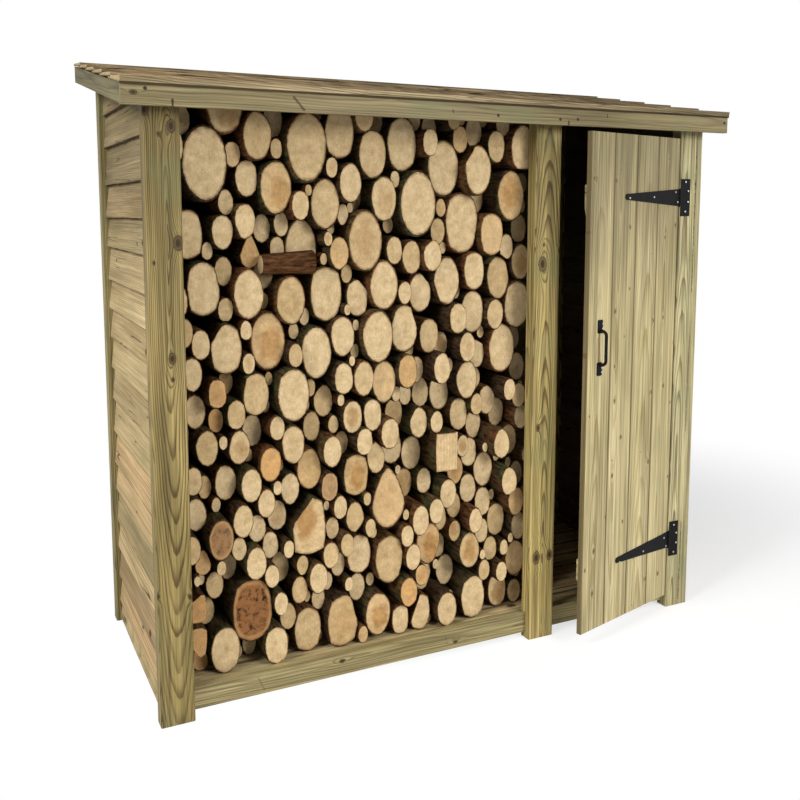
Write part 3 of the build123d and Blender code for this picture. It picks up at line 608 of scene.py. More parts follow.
def board_tree():
    """Boards set on points: each a wedge or a plank, wavering a little along its length."""
    tree, g, given, result = geometry_tree("Boards", {
        "Length": 1.0, "Stand": 0.018, "Foot Thick": 0.010, "Head Set": 0.007, "Head Thick": 0.007,
        "Waver": 0.003, "Cup": 0.0015, "Seed": 0.0, "Runs": 40, "Material": "Material"})
    cube = g.node("GeometryNodeMeshCube", {"Size": (1.0, 1.0, 1.0), "Vertices X": given["Runs"],
                                           "Vertices Y": 2, "Vertices Z": 6})
    unit = g.value("GeometryNodeInputPosition") + (0.5, 0.5, 0.5)
    shape = store(g, cube.outputs[0], "unit", unit, "FLOAT_VECTOR")
    real = g.real(g.value("GeometryNodeInstanceOnPoints",
                          {"Points": given["Geometry"], "Instance": shape}))
    u, v, w = g.split(named(g, "unit", "FLOAT_VECTOR"))
    board, rise, foot = named(g, "board"), named(g, "rise"), named(g, "foot")
    x = u * given["Length"]
    phase = board * 57.0 + given["Seed"]
    slow = g.noise(g.join(x * 3.5, phase, 0.0), 1.0, 3.0, 0.6)
    rag = g.noise(g.join(x * 26.0, phase, 4.0), 1.0, 2.0, 0.6)
    stray = (slow - 0.5) * 2.0 + (rag - 0.5) * 0.7
    stray = stray * given["Waver"] * (1.0 - w)
    z = foot + w * rise + stray
    outer = g.blend(w, given["Stand"], given["Head Set"])
    thick = g.blend(w, given["Foot Thick"] + named(g, "pack"), given["Head Thick"])
    bow = g.noise(g.join(x * 2.2, phase, w * 1.4), 1.0, 2.0, 0.5)
    bow = g.ramp(bow, 0.3, 0.7, 0.0, 1.0) * given["Cup"]
    y = outer * -1.0 + v * thick
    y = y + bow * (1.0 - w * 0.6)
    moved = g.value("GeometryNodeSetPosition", {"Geometry": real, "Position": g.join(x, y, z)})
    along = g.join(z, y * -1.0, x)
    moved = store(g, moved, "along", along, "FLOAT_VECTOR")
    laps = g.join(foot + (rise - WALL_LAP) - z, z - foot, v)
    moved = store(g, moved, "laps", laps, "FLOAT_VECTOR")
    g.feed(result[0], g.paint(moved, given["Material"]))
    return tree


def make_boards(name, place, length, edges, tall, material, seed, waver, stand=0.018,
                foot_thick=0.011, head_set=0.007, head_thick=0.0065, cup=0.0015, runs=40,
                first_pack=0.0):
    """Lapped or butted boards from their lower edges, with the outer face towards -Y."""
    chance = Random(seed)
    attributes = {"board": [chance.random() for edge in edges], "rise": tall, "foot": edges,
                  "pack": [first_pack] + [0.0] * (len(edges) - 1)}
    inputs = {"Length": length, "Stand": stand, "Foot Thick": foot_thick, "Head Set": head_set,
              "Head Thick": head_thick, "Waver": waver, "Cup": cup, "Seed": float(seed),
              "Runs": runs, "Material": material}
    piece = run_tree(name, [(0.0, 0.0, edge) for edge in edges], attributes,
                     shared("Boards", board_tree), inputs)
    piece.data.transform(place)
    return piece


def cut(piece, point, normal):
    """Saws a piece off along a plane, keeping the side that the normal points away from."""
    work = bmesh.new()
    work.from_mesh(piece.data)
    geometry = work.verts[:] + work.edges[:] + work.faces[:]
    made = bmesh.ops.bisect_plane(work, geom=geometry, plane_co=point, plane_no=normal,
                                  clear_outer=True)
    edges = [item for item in made["geom_cut"] if isinstance(item, bmesh.types.BMEdge)]
    bmesh.ops.holes_fill(work, edges=edges)
    work.to_mesh(piece.data)
    work.free()


# Lower edges of the wall boards, from the ground up
LAPS = (0.016, 0.074, 0.160, 0.260, 0.350, 0.457, 0.549, 0.654, 0.763, 0.867, 0.966, 1.060,
        1.153, 1.258, 1.353, 1.453, 1.570, 1.670, 1.768)


class LOGSTORE_OT_wall_boards(Step, bpy.types.Operator):
    """Clads the sides and back with lapped rough-sawn boards"""
    bl_idname = "logstore.wall_boards"
    bl_label = "Wall Boards"

    def execute(self, context):
        settings = context.scene.log_store
        material = shared("wall", lambda: wall_material(settings))
        slope = Vector((0.0, -sin(radians(ROOF_PITCH)), cos(radians(ROOF_PITCH))))
        for name, turn in (("left_wall", -90.0), ("right_wall", 90.0),
                           ("log_bay_back_wall", 180.0), ("cupboard_back_wall", 180.0)):
            low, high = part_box(name)
            side = abs(turn) == 90.0
            length = high.y - low.y if side else high.x - low.x
            origin = (low.x if turn == 90.0 else high.x, high.y if turn == -90.0 else low.y, 0.0)
            place = Matrix.Translation(origin) @ Matrix.Rotation(radians(turn), 4, "Z")
            edges = [edge for edge in LAPS if edge < high.z - 0.03]
            tops = edges[1:] + [high.z]
            tall = [min(top + WALL_LAP, high.z) - edge for edge, top in zip(edges, tops)]
            runs = 30 if length < 0.8 else 44
            piece = make_boards(name + "_boards", place, length, edges, tall, material, len(name),
                                2 * settings.board_waver, head_set=0.003, runs=runs)
            cut(piece, (0.0, high.y if side else low.y, high.z - 0.001), slope)
            finish_piece(piece, "store", [name])
        return {"FINISHED"}


class LOGSTORE_OT_roof_boards(Step, bpy.types.Operator):
    """Covers the roof with lapped boards"""
    bl_idname = "logstore.roof_boards"
    bl_label = "Roof Boards"

    def execute(self, context):
        settings = context.scene.log_store
        material = roof_material(settings)
        low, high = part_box("roof_boards")
        pitch = radians(ROOF_PITCH)
        lie = Matrix(((1.0, 0.0, 0.0), (0.0, sin(pitch), cos(pitch)),
                      (0.0, -cos(pitch), sin(pitch))))
        place = Matrix.Translation(low) @ lie.to_4x4()
        run = (high.y - low.y) / cos(pitch)
        courses = 6
        step = run / courses
        edges = [step * n for n in range(courses)]
        tall = [min(step + ROOF_LAP, run - edge) for edge in edges]
        piece = make_boards("roof_lapped_boards", place, high.x - low.x, edges, tall, material, 5,
                            settings.board_waver, stand=0.0195, foot_thick=0.012, head_set=0.008,
                            runs=70, cup=0.001, first_pack=0.0075)
        finish_piece(piece, "store", ["roof_boards"])
        return {"FINISHED"}


class LOGSTORE_OT_floor_boards(Step, bpy.types.Operator):
    """Lays the slatted floors of the log bay and the cupboard"""
    bl_idname = "logstore.floor_boards"
    bl_label = "Floor Boards"

    def execute(self, context):
        settings = context.scene.log_store
        material = shared("wall", lambda: wall_material(settings))
        for name in ("log_bay_floor", "cupboard_floor"):
            low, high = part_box(name)
            lie = Matrix(((1.0, 0.0, 0.0), (0.0, 0.0, 1.0), (0.0, -1.0, 0.0)))
            place = Matrix.Translation(low) @ lie.to_4x4()
            count, gap = 7, 0.006
            step = (high.y - low.y + gap) / count
            edges = [step * n for n in range(count)]
            thick = high.z - low.z
            piece = make_boards(name + "_slats", place, high.x - low.x, edges, [step - gap] * count,
                                material, 9, 0.0, stand=thick, foot_thick=thick, head_set=thick,
                                head_thick=thick, cup=0.0, runs=12)
            finish_piece(piece, "store", [name])
        return {"FINISHED"}


# Planed lengths: node, grain axis, ring centre across the grain, taper, strength of the lines,
# knots (across, depth, along, size)
PLANED = (
    ("front_left_post", "Z", (0.006, 0.004), 0.056, 0.62,
     ((0.024, -0.023, 0.764, 0.011), (-0.008, -0.023, 0.743, 0.0045),
      (0.034, -0.023, 0.471, 0.013), (-0.028, -0.023, 0.422, 0.004),
      (-0.041, -0.023, 0.800, 0.009), (0.040, -0.023, -0.469, 0.005),
      (-0.044, -0.023, -0.453, 0.005), (0.011, -0.023, 0.175, 0.010),
      (0.011, -0.023, 0.120, 0.0045))),
    ("front_middle_post", "Z", (0.002, 0.008), -0.045, 0.6,
     ((-0.018, -0.023, 0.389, 0.015), (-0.014, -0.023, 0.448, 0.004),
      (-0.024, -0.023, -0.126, 0.008), (-0.022, -0.023, -0.550, 0.014),
      (0.028, -0.023, -0.548, 0.011), (0.042, -0.023, 0.43, 0.005))),
    ("front_right_post", "Z", (-0.020, 0.008), -0.030, 0.55,
     ((0.020, -0.023, 0.640, 0.004), (-0.016, -0.023, -0.550, 0.005))),
    ("back_left_post", "Z", (0.0, -0.01), 0.03, 0.6, ()),
    ("back_middle_post", "Z", (0.0, -0.01), -0.04, 0.6, ()),
    ("back_right_post", "Z", (0.01, -0.01), 0.04, 0.6, ()),
    ("front_top_rail", "X", (-0.05, 0.01), 0.03, 0.5, ()),
    ("back_top_rail", "X", (0.05, 0.01), 0.03, 0.5, ()),
    ("log_bay_sill", "X", (0.020, 0.014), 0.03, 0.5,
     ((-0.014, 0.010, -0.10, 0.006), (-0.014, -0.012, 0.28, 0.005))),
    ("cupboard_sill", "X", (0.02, 0.02), 0.03, 0.5, ()),
    ("log_bay_back_sill", "X", (-0.03, 0.01), 0.04, 0.5, ()),
    ("cupboard_back_sill", "X", (-0.03, 0.01), 0.04, 0.5, ()),
    ("left_bottom_rail", "Y", (0.03, 0.01), 0.04, 0.5, ()),
    ("right_bottom_rail", "Y", (0.03, 0.01), 0.04, 0.5, ()),
    ("log_bay_bearer", "Y", (0.02, -0.03), 0.04, 0.5, ()),
    ("middle_bearer", "Y", (0.02, -0.03), 0.04, 0.5, ()),
    ("left_rafter", "Y", (0.03, 0.01), 0.04, 0.5, ()),
    ("middle_rafter", "Y", (0.03, 0.01), 0.04, 0.5, ()),
    ("right_rafter", "Y", (0.03, 0.01), 0.04, 0.5, ()),
    ("front_fascia", "X", (0.030, 0.020), 0.012, 0.35,
     ((-0.009, 0.003, -0.943, 0.006),)),
    ("back_fascia", "X", (-0.03, 0.004), 0.03, 0.4, ()),
    ("left_barge_board", "Y", (0.030, 0.010), 0.012, 0.35, ()),
    ("right_barge_board", "Y", (-0.03, 0.01), 0.012, 0.35, ()),
)


# Tints of single timbers: their own tone, and painted light and shade for how brightly each one is
# lit
TONES_AND_PAINTED_LIGHT = {
    "front_left_post": (0.86, 0.83, 0.80), "front_middle_post": (1.60, 1.58, 1.54),
    "front_right_post": (1.40, 1.57, 2.15), "front_fascia": (0.64, 0.66, 0.84),
    "left_barge_board": (0.47, 0.50, 0.56), "log_bay_sill": (1.04, 1.09, 1.33),
    "cupboard_sill": (1.04, 1.09, 1.33), "back_left_post": (0.85, 0.9, 1.0),
}
# Shade painted into the colour below the eaves: height where it starts, and its factor at the top
EAVES = {
    "front_left_post": (0.70, 0.70), "front_middle_post": (0.15, 0.50),
    "front_right_post": (0.70, 0.78),
    "back_left_post": (1.15, 0.8), "back_right_post": (1.15, 0.8), "back_middle_post": (1.15, 0.8),
}
# Splits and scars on the front faces: (across, height) at both ends, half width, strength
CRACKS = {
    "front_fascia": (
        ((-0.536, 1.665), (-0.509, 1.635), 0.0045, 0.75),
        ((-0.85, 1.643), (-0.85, 1.63), 0.004, 1.0),
        ((-0.065, 1.655), (-0.063, 1.648), 0.003, 0.8),
        ((0.477, 1.667), (0.478, 1.657), 0.003, 0.8),
        ((0.334, 1.64), (0.334, 1.63), 0.004, 0.95),
    ),
    "front_right_post": (
        ((0.89, 1.62), (0.889, 1.1), 0.0022, 0.8),
        ((0.888, 0.95), (0.884, 0.62), 0.0022, 0.6),
        ((0.88, 0.3), (0.878, 0.02), 0.0024, 0.8),
    ),
    "log_bay_sill": (
        ((-0.64, 0.07), (-0.622, 0.03), 0.003, 0.35),
        ((-0.04, 0.062), (-0.035, 0.04), 0.002, 0.4),
    ),
}


class LOGSTORE_OT_planed_frame(Step, bpy.types.Operator):
    """Gives each planed length of the frame its own grain and knots"""
    bl_idname = "logstore.planed_frame"
    bl_label = "Planed Frame"

    def execute(self, context):
        settings = context.scene.log_store
        for number, (name, axis, heart, taper, lines, knots) in enumerate(PLANED):
            low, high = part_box(name)
            centre = (low + high) / 2
            sloping = name.endswith("rafter") or name.endswith("barge_board")
            turn = -radians(ROOF_PITCH) if sloping else 0.0
            material = planed_material(name.replace("_", " ").capitalize(), settings, centre, axis,
                                       number + 1.0, heart, taper, knots, turn, lines,
                                       TONES_AND_PAINTED_LIGHT.get(name, (1.0, 1.0, 1.0)), EAVES.get(name),
                                       CRACKS.get(name, ()))
            repaint([name], material)
        return {"FINISHED"}


def repaint(names, material):
    """Puts a new material on frame nodes, leaving their meshes alone."""
    for name in names:
        if not NODES[name].material_slots:
            raise RuntimeError(f"{name} has no material slot")
        for slot in NODES[name].material_slots:
            slot.material = material


def door_material(settings, name, seed, lean):
    """Door timber in the leaf's own frame: matchboards, or one length that leans from upright."""
    material, g, shader = new_material(name)
    place = g.coords() - tuple(PIN)
    place = g.turned(place, "Z", -radians(DOOR_AJAR))
    if lean:
        place = g.turned(place, "Y", lean)
    x, y, z = g.split(place)
    count = 0.0 if lean else g.math("FLOOR", (x + DOOR_EDGE) / DOOR_BOARD)
    board = g.math("FRACT", g.math("ADD", count, seed) * GOLDEN)
    middle = 0.0 if lean else (count + 0.5) * DOOR_BOARD
    local = g.join(x - middle, y, z + board * 11.0)
    knots = g.group(shared("Scattered knots", scattered_knots_group), Place=local, Seed=board,
                    Wide=0.060, Tall=0.13, Size=0.0050, Share=0.55)
    heart = g.join(g.ramp(board, 0.0, 1.0, -0.03, 0.03), 0.035, 0.0)
    grain = g.group(shared("Grain", grain_group), Place=local, Seed=board * 23.0, Heart=heart,
                    Taper=0.02, Ring=0.0048, Waver=0.014, Bend=knots["Bend"])
    # Painted shade below the eaves, from 0.85 m up, down to half at the top
    colour = paint_timber(g, shader, settings.door_light, settings.door_dark, (0.2, 0.11, 0.05),
                          grain, knots["Near"], 0.1, 0.15, 0.6, 0.9, (0.85, 0.5))
    colour = g.tint(colour, g.ramp(board, 0.0, 1.0, 0.94, 1.05))
    if not lean:
        half = DOOR_BOARD / 2
        groove = x + DOOR_EDGE + (10 * DOOR_BOARD + half)
        groove = abs(g.math("MODULO", groove, DOOR_BOARD) - half)
        shadow = g.span(groove, 0.0016, 0.0055, 1.0, 0.0) * 0.75
        colour = g.mix(shadow, colour, (0.11, 0.075, 0.028, 1.0))
    g.feed_all(shader, Base_Color=colour, Specular_IOR_Level=0.3)
    return material


class LOGSTORE_OT_door(Step, bpy.types.Operator):
    """Finishes the matchboarded door with its ledges and brace"""
    bl_idname = "logstore.door"
    bl_label = "Door"

    def execute(self, context):
        settings = context.scene.log_store
        for names, label, seed, lean in (
                (["door_boards"], "Door matchboards", 3.0, None),
                (["upper_door_ledge", "lower_door_ledge"], "Door ledges", 8.0, radians(90.0)),
                (["door_brace"], "Door brace", 12.0, radians(20.0))):
            repaint(names, door_material(settings, label, seed, lean))
        return {"FINISHED"}


def iron_material(settings):
    """Black powder coat with a faint orange-peel texture."""
    material, g, shader = new_material("Black ironmongery")
    place = g.coords()
    tone = g.ramp(g.noise(place, 60.0, 3.0), 0.3, 0.7, 0.8, 1.35)
    g.relief(shader, 0.25, 0.0003, g.noise(place, 900.0, 2.0))
    rough = g.ramp(g.noise(place, 220.0, 2.0), 0.3, 0.7, 0.55, 0.7)
    g.feed_all(shader, Base_Color=g.tint(rgb(settings.iron), tone), Roughness=rough,
               Specular_IOR_Level=0.12)
    return material


def head_material(name, scale, detail, light, dark, rough, metal):
    """The metal of small heads, which goes from one tone and roughness to another in patches."""
    material, g, shader = new_material(name)
    patch = g.noise(g.coords(), scale, detail)
    g.feed_all(shader, Base_Color=g.mix(patch, rgb(light), rgb(dark)),
               Roughness=g.ramp(patch, 0.3, 0.7, *rough), Metallic=metal)
    return material


def zinc_material():
    """Bright zinc-plated screw heads, dulled here and there."""
    return head_material("Bright screws", 500.0, 2.0, (0.62, 0.63, 0.64), (0.34, 0.34, 0.33),
                         (0.28, 0.5), 1.0)


def nail_material():
    """Dull steel nail heads, brown in patches."""
    return head_material("Nail heads", 300.0, 3.0, (0.02, 0.017, 0.014), (0.05, 0.028, 0.015),
                         (0.5, 0.8), 0.6)


def head_mesh(name, rings, sides):
    """A turned head from (radius, height) rings, closed at its top and foot."""
    mesh = bpy.data.meshes.new(name)
    work = bmesh.new()
    rows = []
    for radius, height in rings:
        row = []
        for side in range(sides):
            angle = 2 * pi * side / sides
            reach = radius(side) if callable(radius) else radius
            row.append(work.verts.new((reach * cos(angle), reach * sin(angle), height)))
        rows.append(row)
    for lower, upper in zip(rows, rows[1:]):
        for side in range(sides):
            after = (side + 1) % sides
            work.faces.new((lower[side], lower[after], upper[after], upper[side]))
    work.faces.new(rows[-1])
    work.faces.new(list(reversed(rows[0])))
    work.to_mesh(mesh)
    work.free()
    return mesh


def cross(side):
    """Outline of a cross recess: long on the four arms and short between them."""
    return 0.46 if side % 4 in (0, 1) else 0.17


def heads_tree():
    """Heads of one shape set on points, each turned to its own facing."""
    tree, g, given, result = geometry_tree("Fixing heads", {
        "Head": "Object", "Radius": 0.004, "Seed": 0, "Material": "Material"})
    shape = g.node("GeometryNodeObjectInfo", {"Object": given["Head"]}).outputs["Geometry"]
    facing = named(g, "facing", "FLOAT_VECTOR")
    turned = g.value("FunctionNodeAlignRotationToVector", {"Vector": facing}, axis="Z")
    spin = g.node("FunctionNodeRandomValue", {"Seed": given["Seed"]}, data_type="FLOAT")
    spin.inputs[2].default_value = 0.0
    spin.inputs[3].default_value = 2 * pi
    about = g.value("FunctionNodeAxisAngleToRotation",
                    {"Axis": (0.0, 0.0, 1.0), "Angle": spin.outputs[1]})
    both = g.value("FunctionNodeRotateRotation", {"Rotation": turned, "Rotate By": about},
                   rotation_space="LOCAL")
    real = g.real(g.value("GeometryNodeInstanceOnPoints",
                          {"Points": given["Geometry"], "Instance": shape, "Rotation": both,
                           "Scale": g.triple(given["Radius"])}))
    g.feed(result[0], g.paint(real, given["Material"]))
    return tree


def leaf_point(from_pin, height):
    """Where a screw on the door stands: distance back from the pin, and height."""
    angle = radians(DOOR_AJAR)
    x, y = -from_pin, -SCREWS_OUT
    return Vector((PIN.x + x * cos(angle) - y * sin(angle), PIN.y + x * sin(angle) + y * cos(angle),
                   height))


def make_heads(name, spots, mesh, radius, material, body):
    head = link(name + " head", mesh)
    points, facings = zip(*spots)
    piece = run_tree(name, points, {"facing": facings}, shared("Fixing heads", heads_tree),
                     {"Head": head, "Radius": radius, "Seed": len(spots), "Material": material})
    bpy.data.objects.remove(head)
    finish_piece(piece, body)


class LOGSTORE_OT_ironmongery(Step, bpy.types.Operator):
    """Coats the hinges and handle and drives their screws"""
    bl_idname = "logstore.ironmongery"
    bl_label = "Ironmongery"

    def execute(self, context):
        settings = context.scene.log_store
        repaint(("upper_hinge_flap", "lower_hinge_flap", "upper_hinge_strap",
                 "lower_hinge_strap", "door_handle"), iron_material(settings))
        zinc = zinc_material()
        shape = head_mesh("Screw head", [(1.0, 0.0), (0.86, 0.24), (0.56, 0.36), (cross, 0.36),
                                         (cross, 0.12)], 16)
        out = Vector((sin(radians(DOOR_AJAR)), -cos(radians(DOOR_AJAR)), 0.0))
        low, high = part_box("upper_hinge_flap")
        on_door, on_post = [], []
        for middle in HINGE_HEIGHTS:
            for from_pin, rise in ((0.2895, -0.004), (0.1595, 0.0), (0.0385, 0.017),
                                   (0.0250, -0.015)):
                on_door.append((leaf_point(from_pin, middle + rise), out))
            for share, rise in ((0.35, 0.051), (0.70, 0.021), (0.70, -0.014), (0.40, -0.046)):
                across = low.x + 0.010 + (high.x - low.x - 0.012) * share
                on_post.append(((across, low.y, middle + rise), FORWARD))
        on_door += [(leaf_point(0.411, height), out) for height in (1.030, 1.015, 0.893, 0.880)]
        make_heads("door_screws", on_door, shape, settings.screw_head, zinc, "door")
        make_heads("flap_screws", on_post, shape, settings.screw_head, zinc, "store")
        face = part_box("front_fascia")[0].y
        nails = [((x, face, z), FORWARD) for x, z in (
            (-0.915, 1.668), (0.085, 1.647), (0.303, 1.645), (0.367, 1.647), (0.959, 1.660))]
        shape = head_mesh("Nail head", [(1.0, 0.0), (0.92, 0.12), (0.5, 0.18)], 12)
        make_heads("fascia_nails", nails, shape, settings.nail_head, nail_material(), "store")
        return {"FINISHED"}


# ---------------------------------------------------------------- firewood

def loose_parts(node):
    """The separate solids in a frame node, each as an array of its corner positions."""
    mesh = node.data
    spots = np.empty(len(mesh.vertices) * 3)
    mesh.vertices.foreach_get("co", spots)
    spots = spots.reshape(-1, 3)
    keys = {}
    same = [keys.setdefault(tuple(np.round(spot, 5)), place) for place, spot in enumerate(spots)]
    chief = list(range(len(spots)))

    def find(place):
        while chief[place] != place:
            chief[place] = chief[chief[place]]
            place = chief[place]
        return place

    for face in mesh.polygons:
        corners = [find(same[corner]) for corner in face.vertices]
        for corner in corners[1:]:
            chief[find(corner)] = find(corners[0])
    groups = {}
    for place in set(same):
        groups.setdefault(find(place), []).append(spots[place])
    return [np.array(group) for group in groups.values()]


def oval_through(corners):
    """Centre, half width and top of the oval that passes nearest the corners of a billet's end.
    A top cut flat under the roof isn't part of the oval, and is given apart."""
    x, z = corners.T
    cut = z > z.max() - 0.0001
    flat = cut.sum() > 1 and len(z) - cut.sum() > 3
    keep = ~cut if flat else cut | True
    level = z / TALLER
    terms = np.stack([x, level, np.ones(len(x))], axis=1)[keep]
    a, b, c = np.linalg.lstsq(terms, (x * x + level * level)[keep], rcond=None)[0]
    return a / 2, TALLER * b / 2, (c + a * a / 4 + b * b / 4) ** 0.5, z.max() if flat else WHOLE


def unit_billet(sides):
    """A billet of unit radius and length: sawn face, bark rim, bark side and a closed back."""
    mesh = bpy.data.meshes.new("Billet")
    work = bmesh.new()
    rim = work.verts.layers.float.new("rim")
    sawn = work.faces.layers.float.new("sawn")
    rows = []
    for radius, along in ((0.94, 0.0), (1.0, 0.004), (1.0, 1.0)):
        row = []
        for side in range(sides):
            angle = 2 * pi * side / sides
            spot = work.verts.new((radius * sin(angle), along, radius * cos(angle)))
            spot[rim] = radius if along < 0.1 else 1.0
            row.append(spot)
        rows.append(row)
    heart = work.verts.new((0.0, 0.0, 0.0))
    for side in range(sides):
        after = (side + 1) % sides
        face = work.faces.new((heart, rows[0][after], rows[0][side]))
        face[sawn] = 1.0
        for level, (front, back) in enumerate(zip(rows, rows[1:])):
            face = work.faces.new((front[side], front[after], back[after], back[side]))
            face.smooth = level == 1
    face = work.faces.new(rows[-1])
    face[sawn] = 1.0
    bmesh.ops.recalc_face_normals(work, faces=work.faces)
    work.to_mesh(mesh)
    work.free()
    return mesh


def billet_tree():
    """Billets set on points: each tapered, squared or split, then swayed out of round."""
    tree, g, given, result = geometry_tree("Billets", {
        "Thick billet": "Object", "Thin billet": "Object", "Thick from": 0.035, "Sway": 0.007,
        "Chips": 0.0022, "Sawn": "Material", "Bark": "Material"})
    size = named(g, "size", "FLOAT_VECTOR")
    thick = g.node("FunctionNodeCompare", {0: g.split(size)[0], 1: given["Thick from"]},
                   data_type="FLOAT", operation="GREATER_THAN").outputs[0]
    thin = g.node("FunctionNodeBooleanMath", [thick], operation="NOT").outputs[0]
    join = g.node("GeometryNodeJoinGeometry")
    for label, chosen in (("Thick billet", thick), ("Thin billet", thin)):
        unit = g.node("GeometryNodeObjectInfo", {"Object": given[label]}).outputs["Geometry"]
        unit = store(g, unit, "unit", g.value("GeometryNodeInputPosition"), "FLOAT_VECTOR")
        placed = g.node("GeometryNodeInstanceOnPoints", {
            "Points": given["Geometry"], "Selection": chosen, "Instance": unit})
        g.tree.links.new(placed.outputs[0], join.inputs[0])
    real = g.real(join.outputs[0])
    unit = named(g, "unit", "FLOAT_VECTOR")
    x, along, z = g.split(unit)
    shape = g.split(named(g, "shape", "FLOAT_VECTOR"))
    broad = g.math("MAXIMUM", abs(x), abs(z))
    squarer = 1.0 / g.math("MAXIMUM", broad, 0.5)
    squarer = g.blend(shape[0], 1.0, squarer) * g.blend(shape[0], 1.0, 0.86)
    x, z = x * squarer, z * squarer
    lean = g.math("SIGN", shape[1]) * z + 0.3
    lean = g.math("MAXIMUM", lean, 0.0) * abs(shape[1])
    x = x * (1.0 - lean)
    facing = named(g, "facing", "FLOAT_VECTOR")
    beyond = g.vector("DOT_PRODUCT", g.join(x, 0.0, z), facing) - shape[2]
    trimmed = g.join(x, along, z) - facing * g.triple(g.math("MAXIMUM", beyond, 0.0))
    real = store(g, real, "across", trimmed * size, "FLOAT_VECTOR")
    log = named(g, "log")
    move = (trimmed - unit) * size
    move = move + unit * (size - (1.0, 1.0, 1.0))
    around = trimmed * size + g.join(log * 7.0, 0.0, 0.0)
    broad_sway = g.noise(around * (17.0, 1.5, 17.0), 1.0, 1.0, 0.5, 0.0, "Color")
    fine_sway = g.noise(around * (85.0, 2.0, 85.0), 1.0, 1.0, 0.5, 0.0, "Color")
    share = g.math("MINIMUM", g.split(size)[0] / 0.04, 1.0)
    for field, most in ((broad_sway, given["Sway"]), (fine_sway, given["Chips"])):
        amount = most * share
        sway = field - (0.5, 0.5, 0.5)
        move = move + sway * g.join(amount, 0.0, amount)
    moved = g.value("GeometryNodeSetPosition", {"Geometry": real, "Offset": move})
    x, y, z = g.split(g.value("GeometryNodeInputPosition"))
    under = g.join(x, y, g.math("MINIMUM", z, named(g, "head")))
    moved = g.value("GeometryNodeSetPosition", {"Geometry": moved, "Position": under})
    moved = g.paint(moved, given["Bark"])
    g.feed(result[0], g.paint(moved, given["Sawn"], Selection=named(g, "sawn")))
    return tree


def sawn_material(settings):
    """Sawn ends: pale with faint rings about an off-centre heart, a few of them brown or rotten."""
    material, g, shader = new_material("Sawn ends")
    rim, log, girth = g.attribute("rim"), g.attribute("log"), g.attribute("girth")
    across = g.attribute("across", "Vector")
    rot, warm, heart_wood = g.split(g.attribute("mood", "Vector"))
    place = across + g.join(log * 31.0, 0.0, log * 17.0)
    fresh = settings.end_grain
    drift = g.noise(place, 26.0, 2.0, 0.6, 0.0, "Color") - (0.5, 0.5, 0.5)
    aside = g.math("FRACT", log * 9.1) - 0.5
    middle = g.join(aside * girth * 0.5, 0.0, aside * girth * -0.7)
    flat = (across - middle) * (1.0, 0.0, 1.0 / TALLER)
    out = g.vector("LENGTH", flat + drift * (0.01, 0.0, 0.01))
    grain = (g.split(across)[0] + 0.5) * 0.45
    out = g.blend(g.attribute("block"), out, grain)
    turn = g.math("FRACT", out / RING)
    line = g.span(turn, 0.3, 0.85) * g.span(turn, 0.9, 1.0, 1.0, 0.0)
    duller = g.span(g.math("FRACT", log * 5.3), 0.35, 1.0)
    colour = g.mix(duller, rgb(fresh), rgb(fresh, 0.8, 0.76, 0.68))
    colour = g.mix(line * g.blend(g.attribute("block"), 0.22, 0.32), colour,
                   rgb(fresh, 0.62, 0.52, 0.38))
    pith = out / girth
    patch = pith + (g.noise(place, 40.0, 3.0) - 0.5) * 0.8
    brown = heart_wood * g.span(patch, 0.4, 0.8, 1.0, 0.0)
    colour = g.mix(brown, colour, rgb(fresh, 0.56, 0.41, 0.26))
    dot = g.span(pith, 0.05, 0.22, 0.35, 0.0) * g.math("FRACT", log * 3.1)
    colour = g.mix(dot, colour, rgb(fresh, 0.50, 0.36, 0.22))
    blush = g.span(g.noise(place, 34.0, 2.0), 0.3, 0.6, 0.5, 1.0)
    colour = g.mix(warm * blush, colour, rgb(fresh, 0.92, 0.69, 0.46))
    blotch = g.noise(place, 34.0, 5.0, 0.7)
    tint = g.ramp(blotch, 0.34, 0.66, 0.78, 1.12)
    colour = g.tint(colour, tint, tint ** 1.15, tint ** 1.5)
    chips = g.ramp(g.noise(place * (1.0, 1.0, 0.35), 240.0, 3.0, 0.7), 0.3, 0.7, 0.84, 1.12)
    colour = g.tint(colour, chips)
    decay = g.span(g.noise(place, 48.0, 5.0, 0.7), 0.34, 0.54)
    decayed = g.mix(decay, (0.020, 0.009, 0.004, 1.0), (0.260, 0.115, 0.042, 1.0))
    decayed = g.mix(g.span(rim, 0.72, 0.9, 0.0, 0.7), decayed, (0.52, 0.29, 0.115, 1.0))
    colour = g.mix(rot, colour, decayed)
    edge = g.span(rim, 0.84, 0.935) * g.span(g.noise(place, 60.0, 2.0), 0.35, 0.6, 0.3, 0.85)
    colour = g.mix(edge, colour, (0.17, 0.085, 0.035, 1.0))
    # Painted light and shade: sawn ends lighter low in the stack and darker high up
    level = g.ramp(g.split(g.coords())[2], 0.1, 1.6, 1.12, 0.86)
    colour = g.tint(colour, level)
    height = g.noise(place, 190.0, 4.0, 0.7) + line * 0.3
    height = height + rot * decay * 3.0
    g.relief(shader, 0.35, 0.0014, height)
    g.feed_all(shader, Base_Color=colour, Roughness=g.ramp(tint, 0.9, 1.1, 0.9, 0.75),
               Specular_IOR_Level=0.1)
    return material


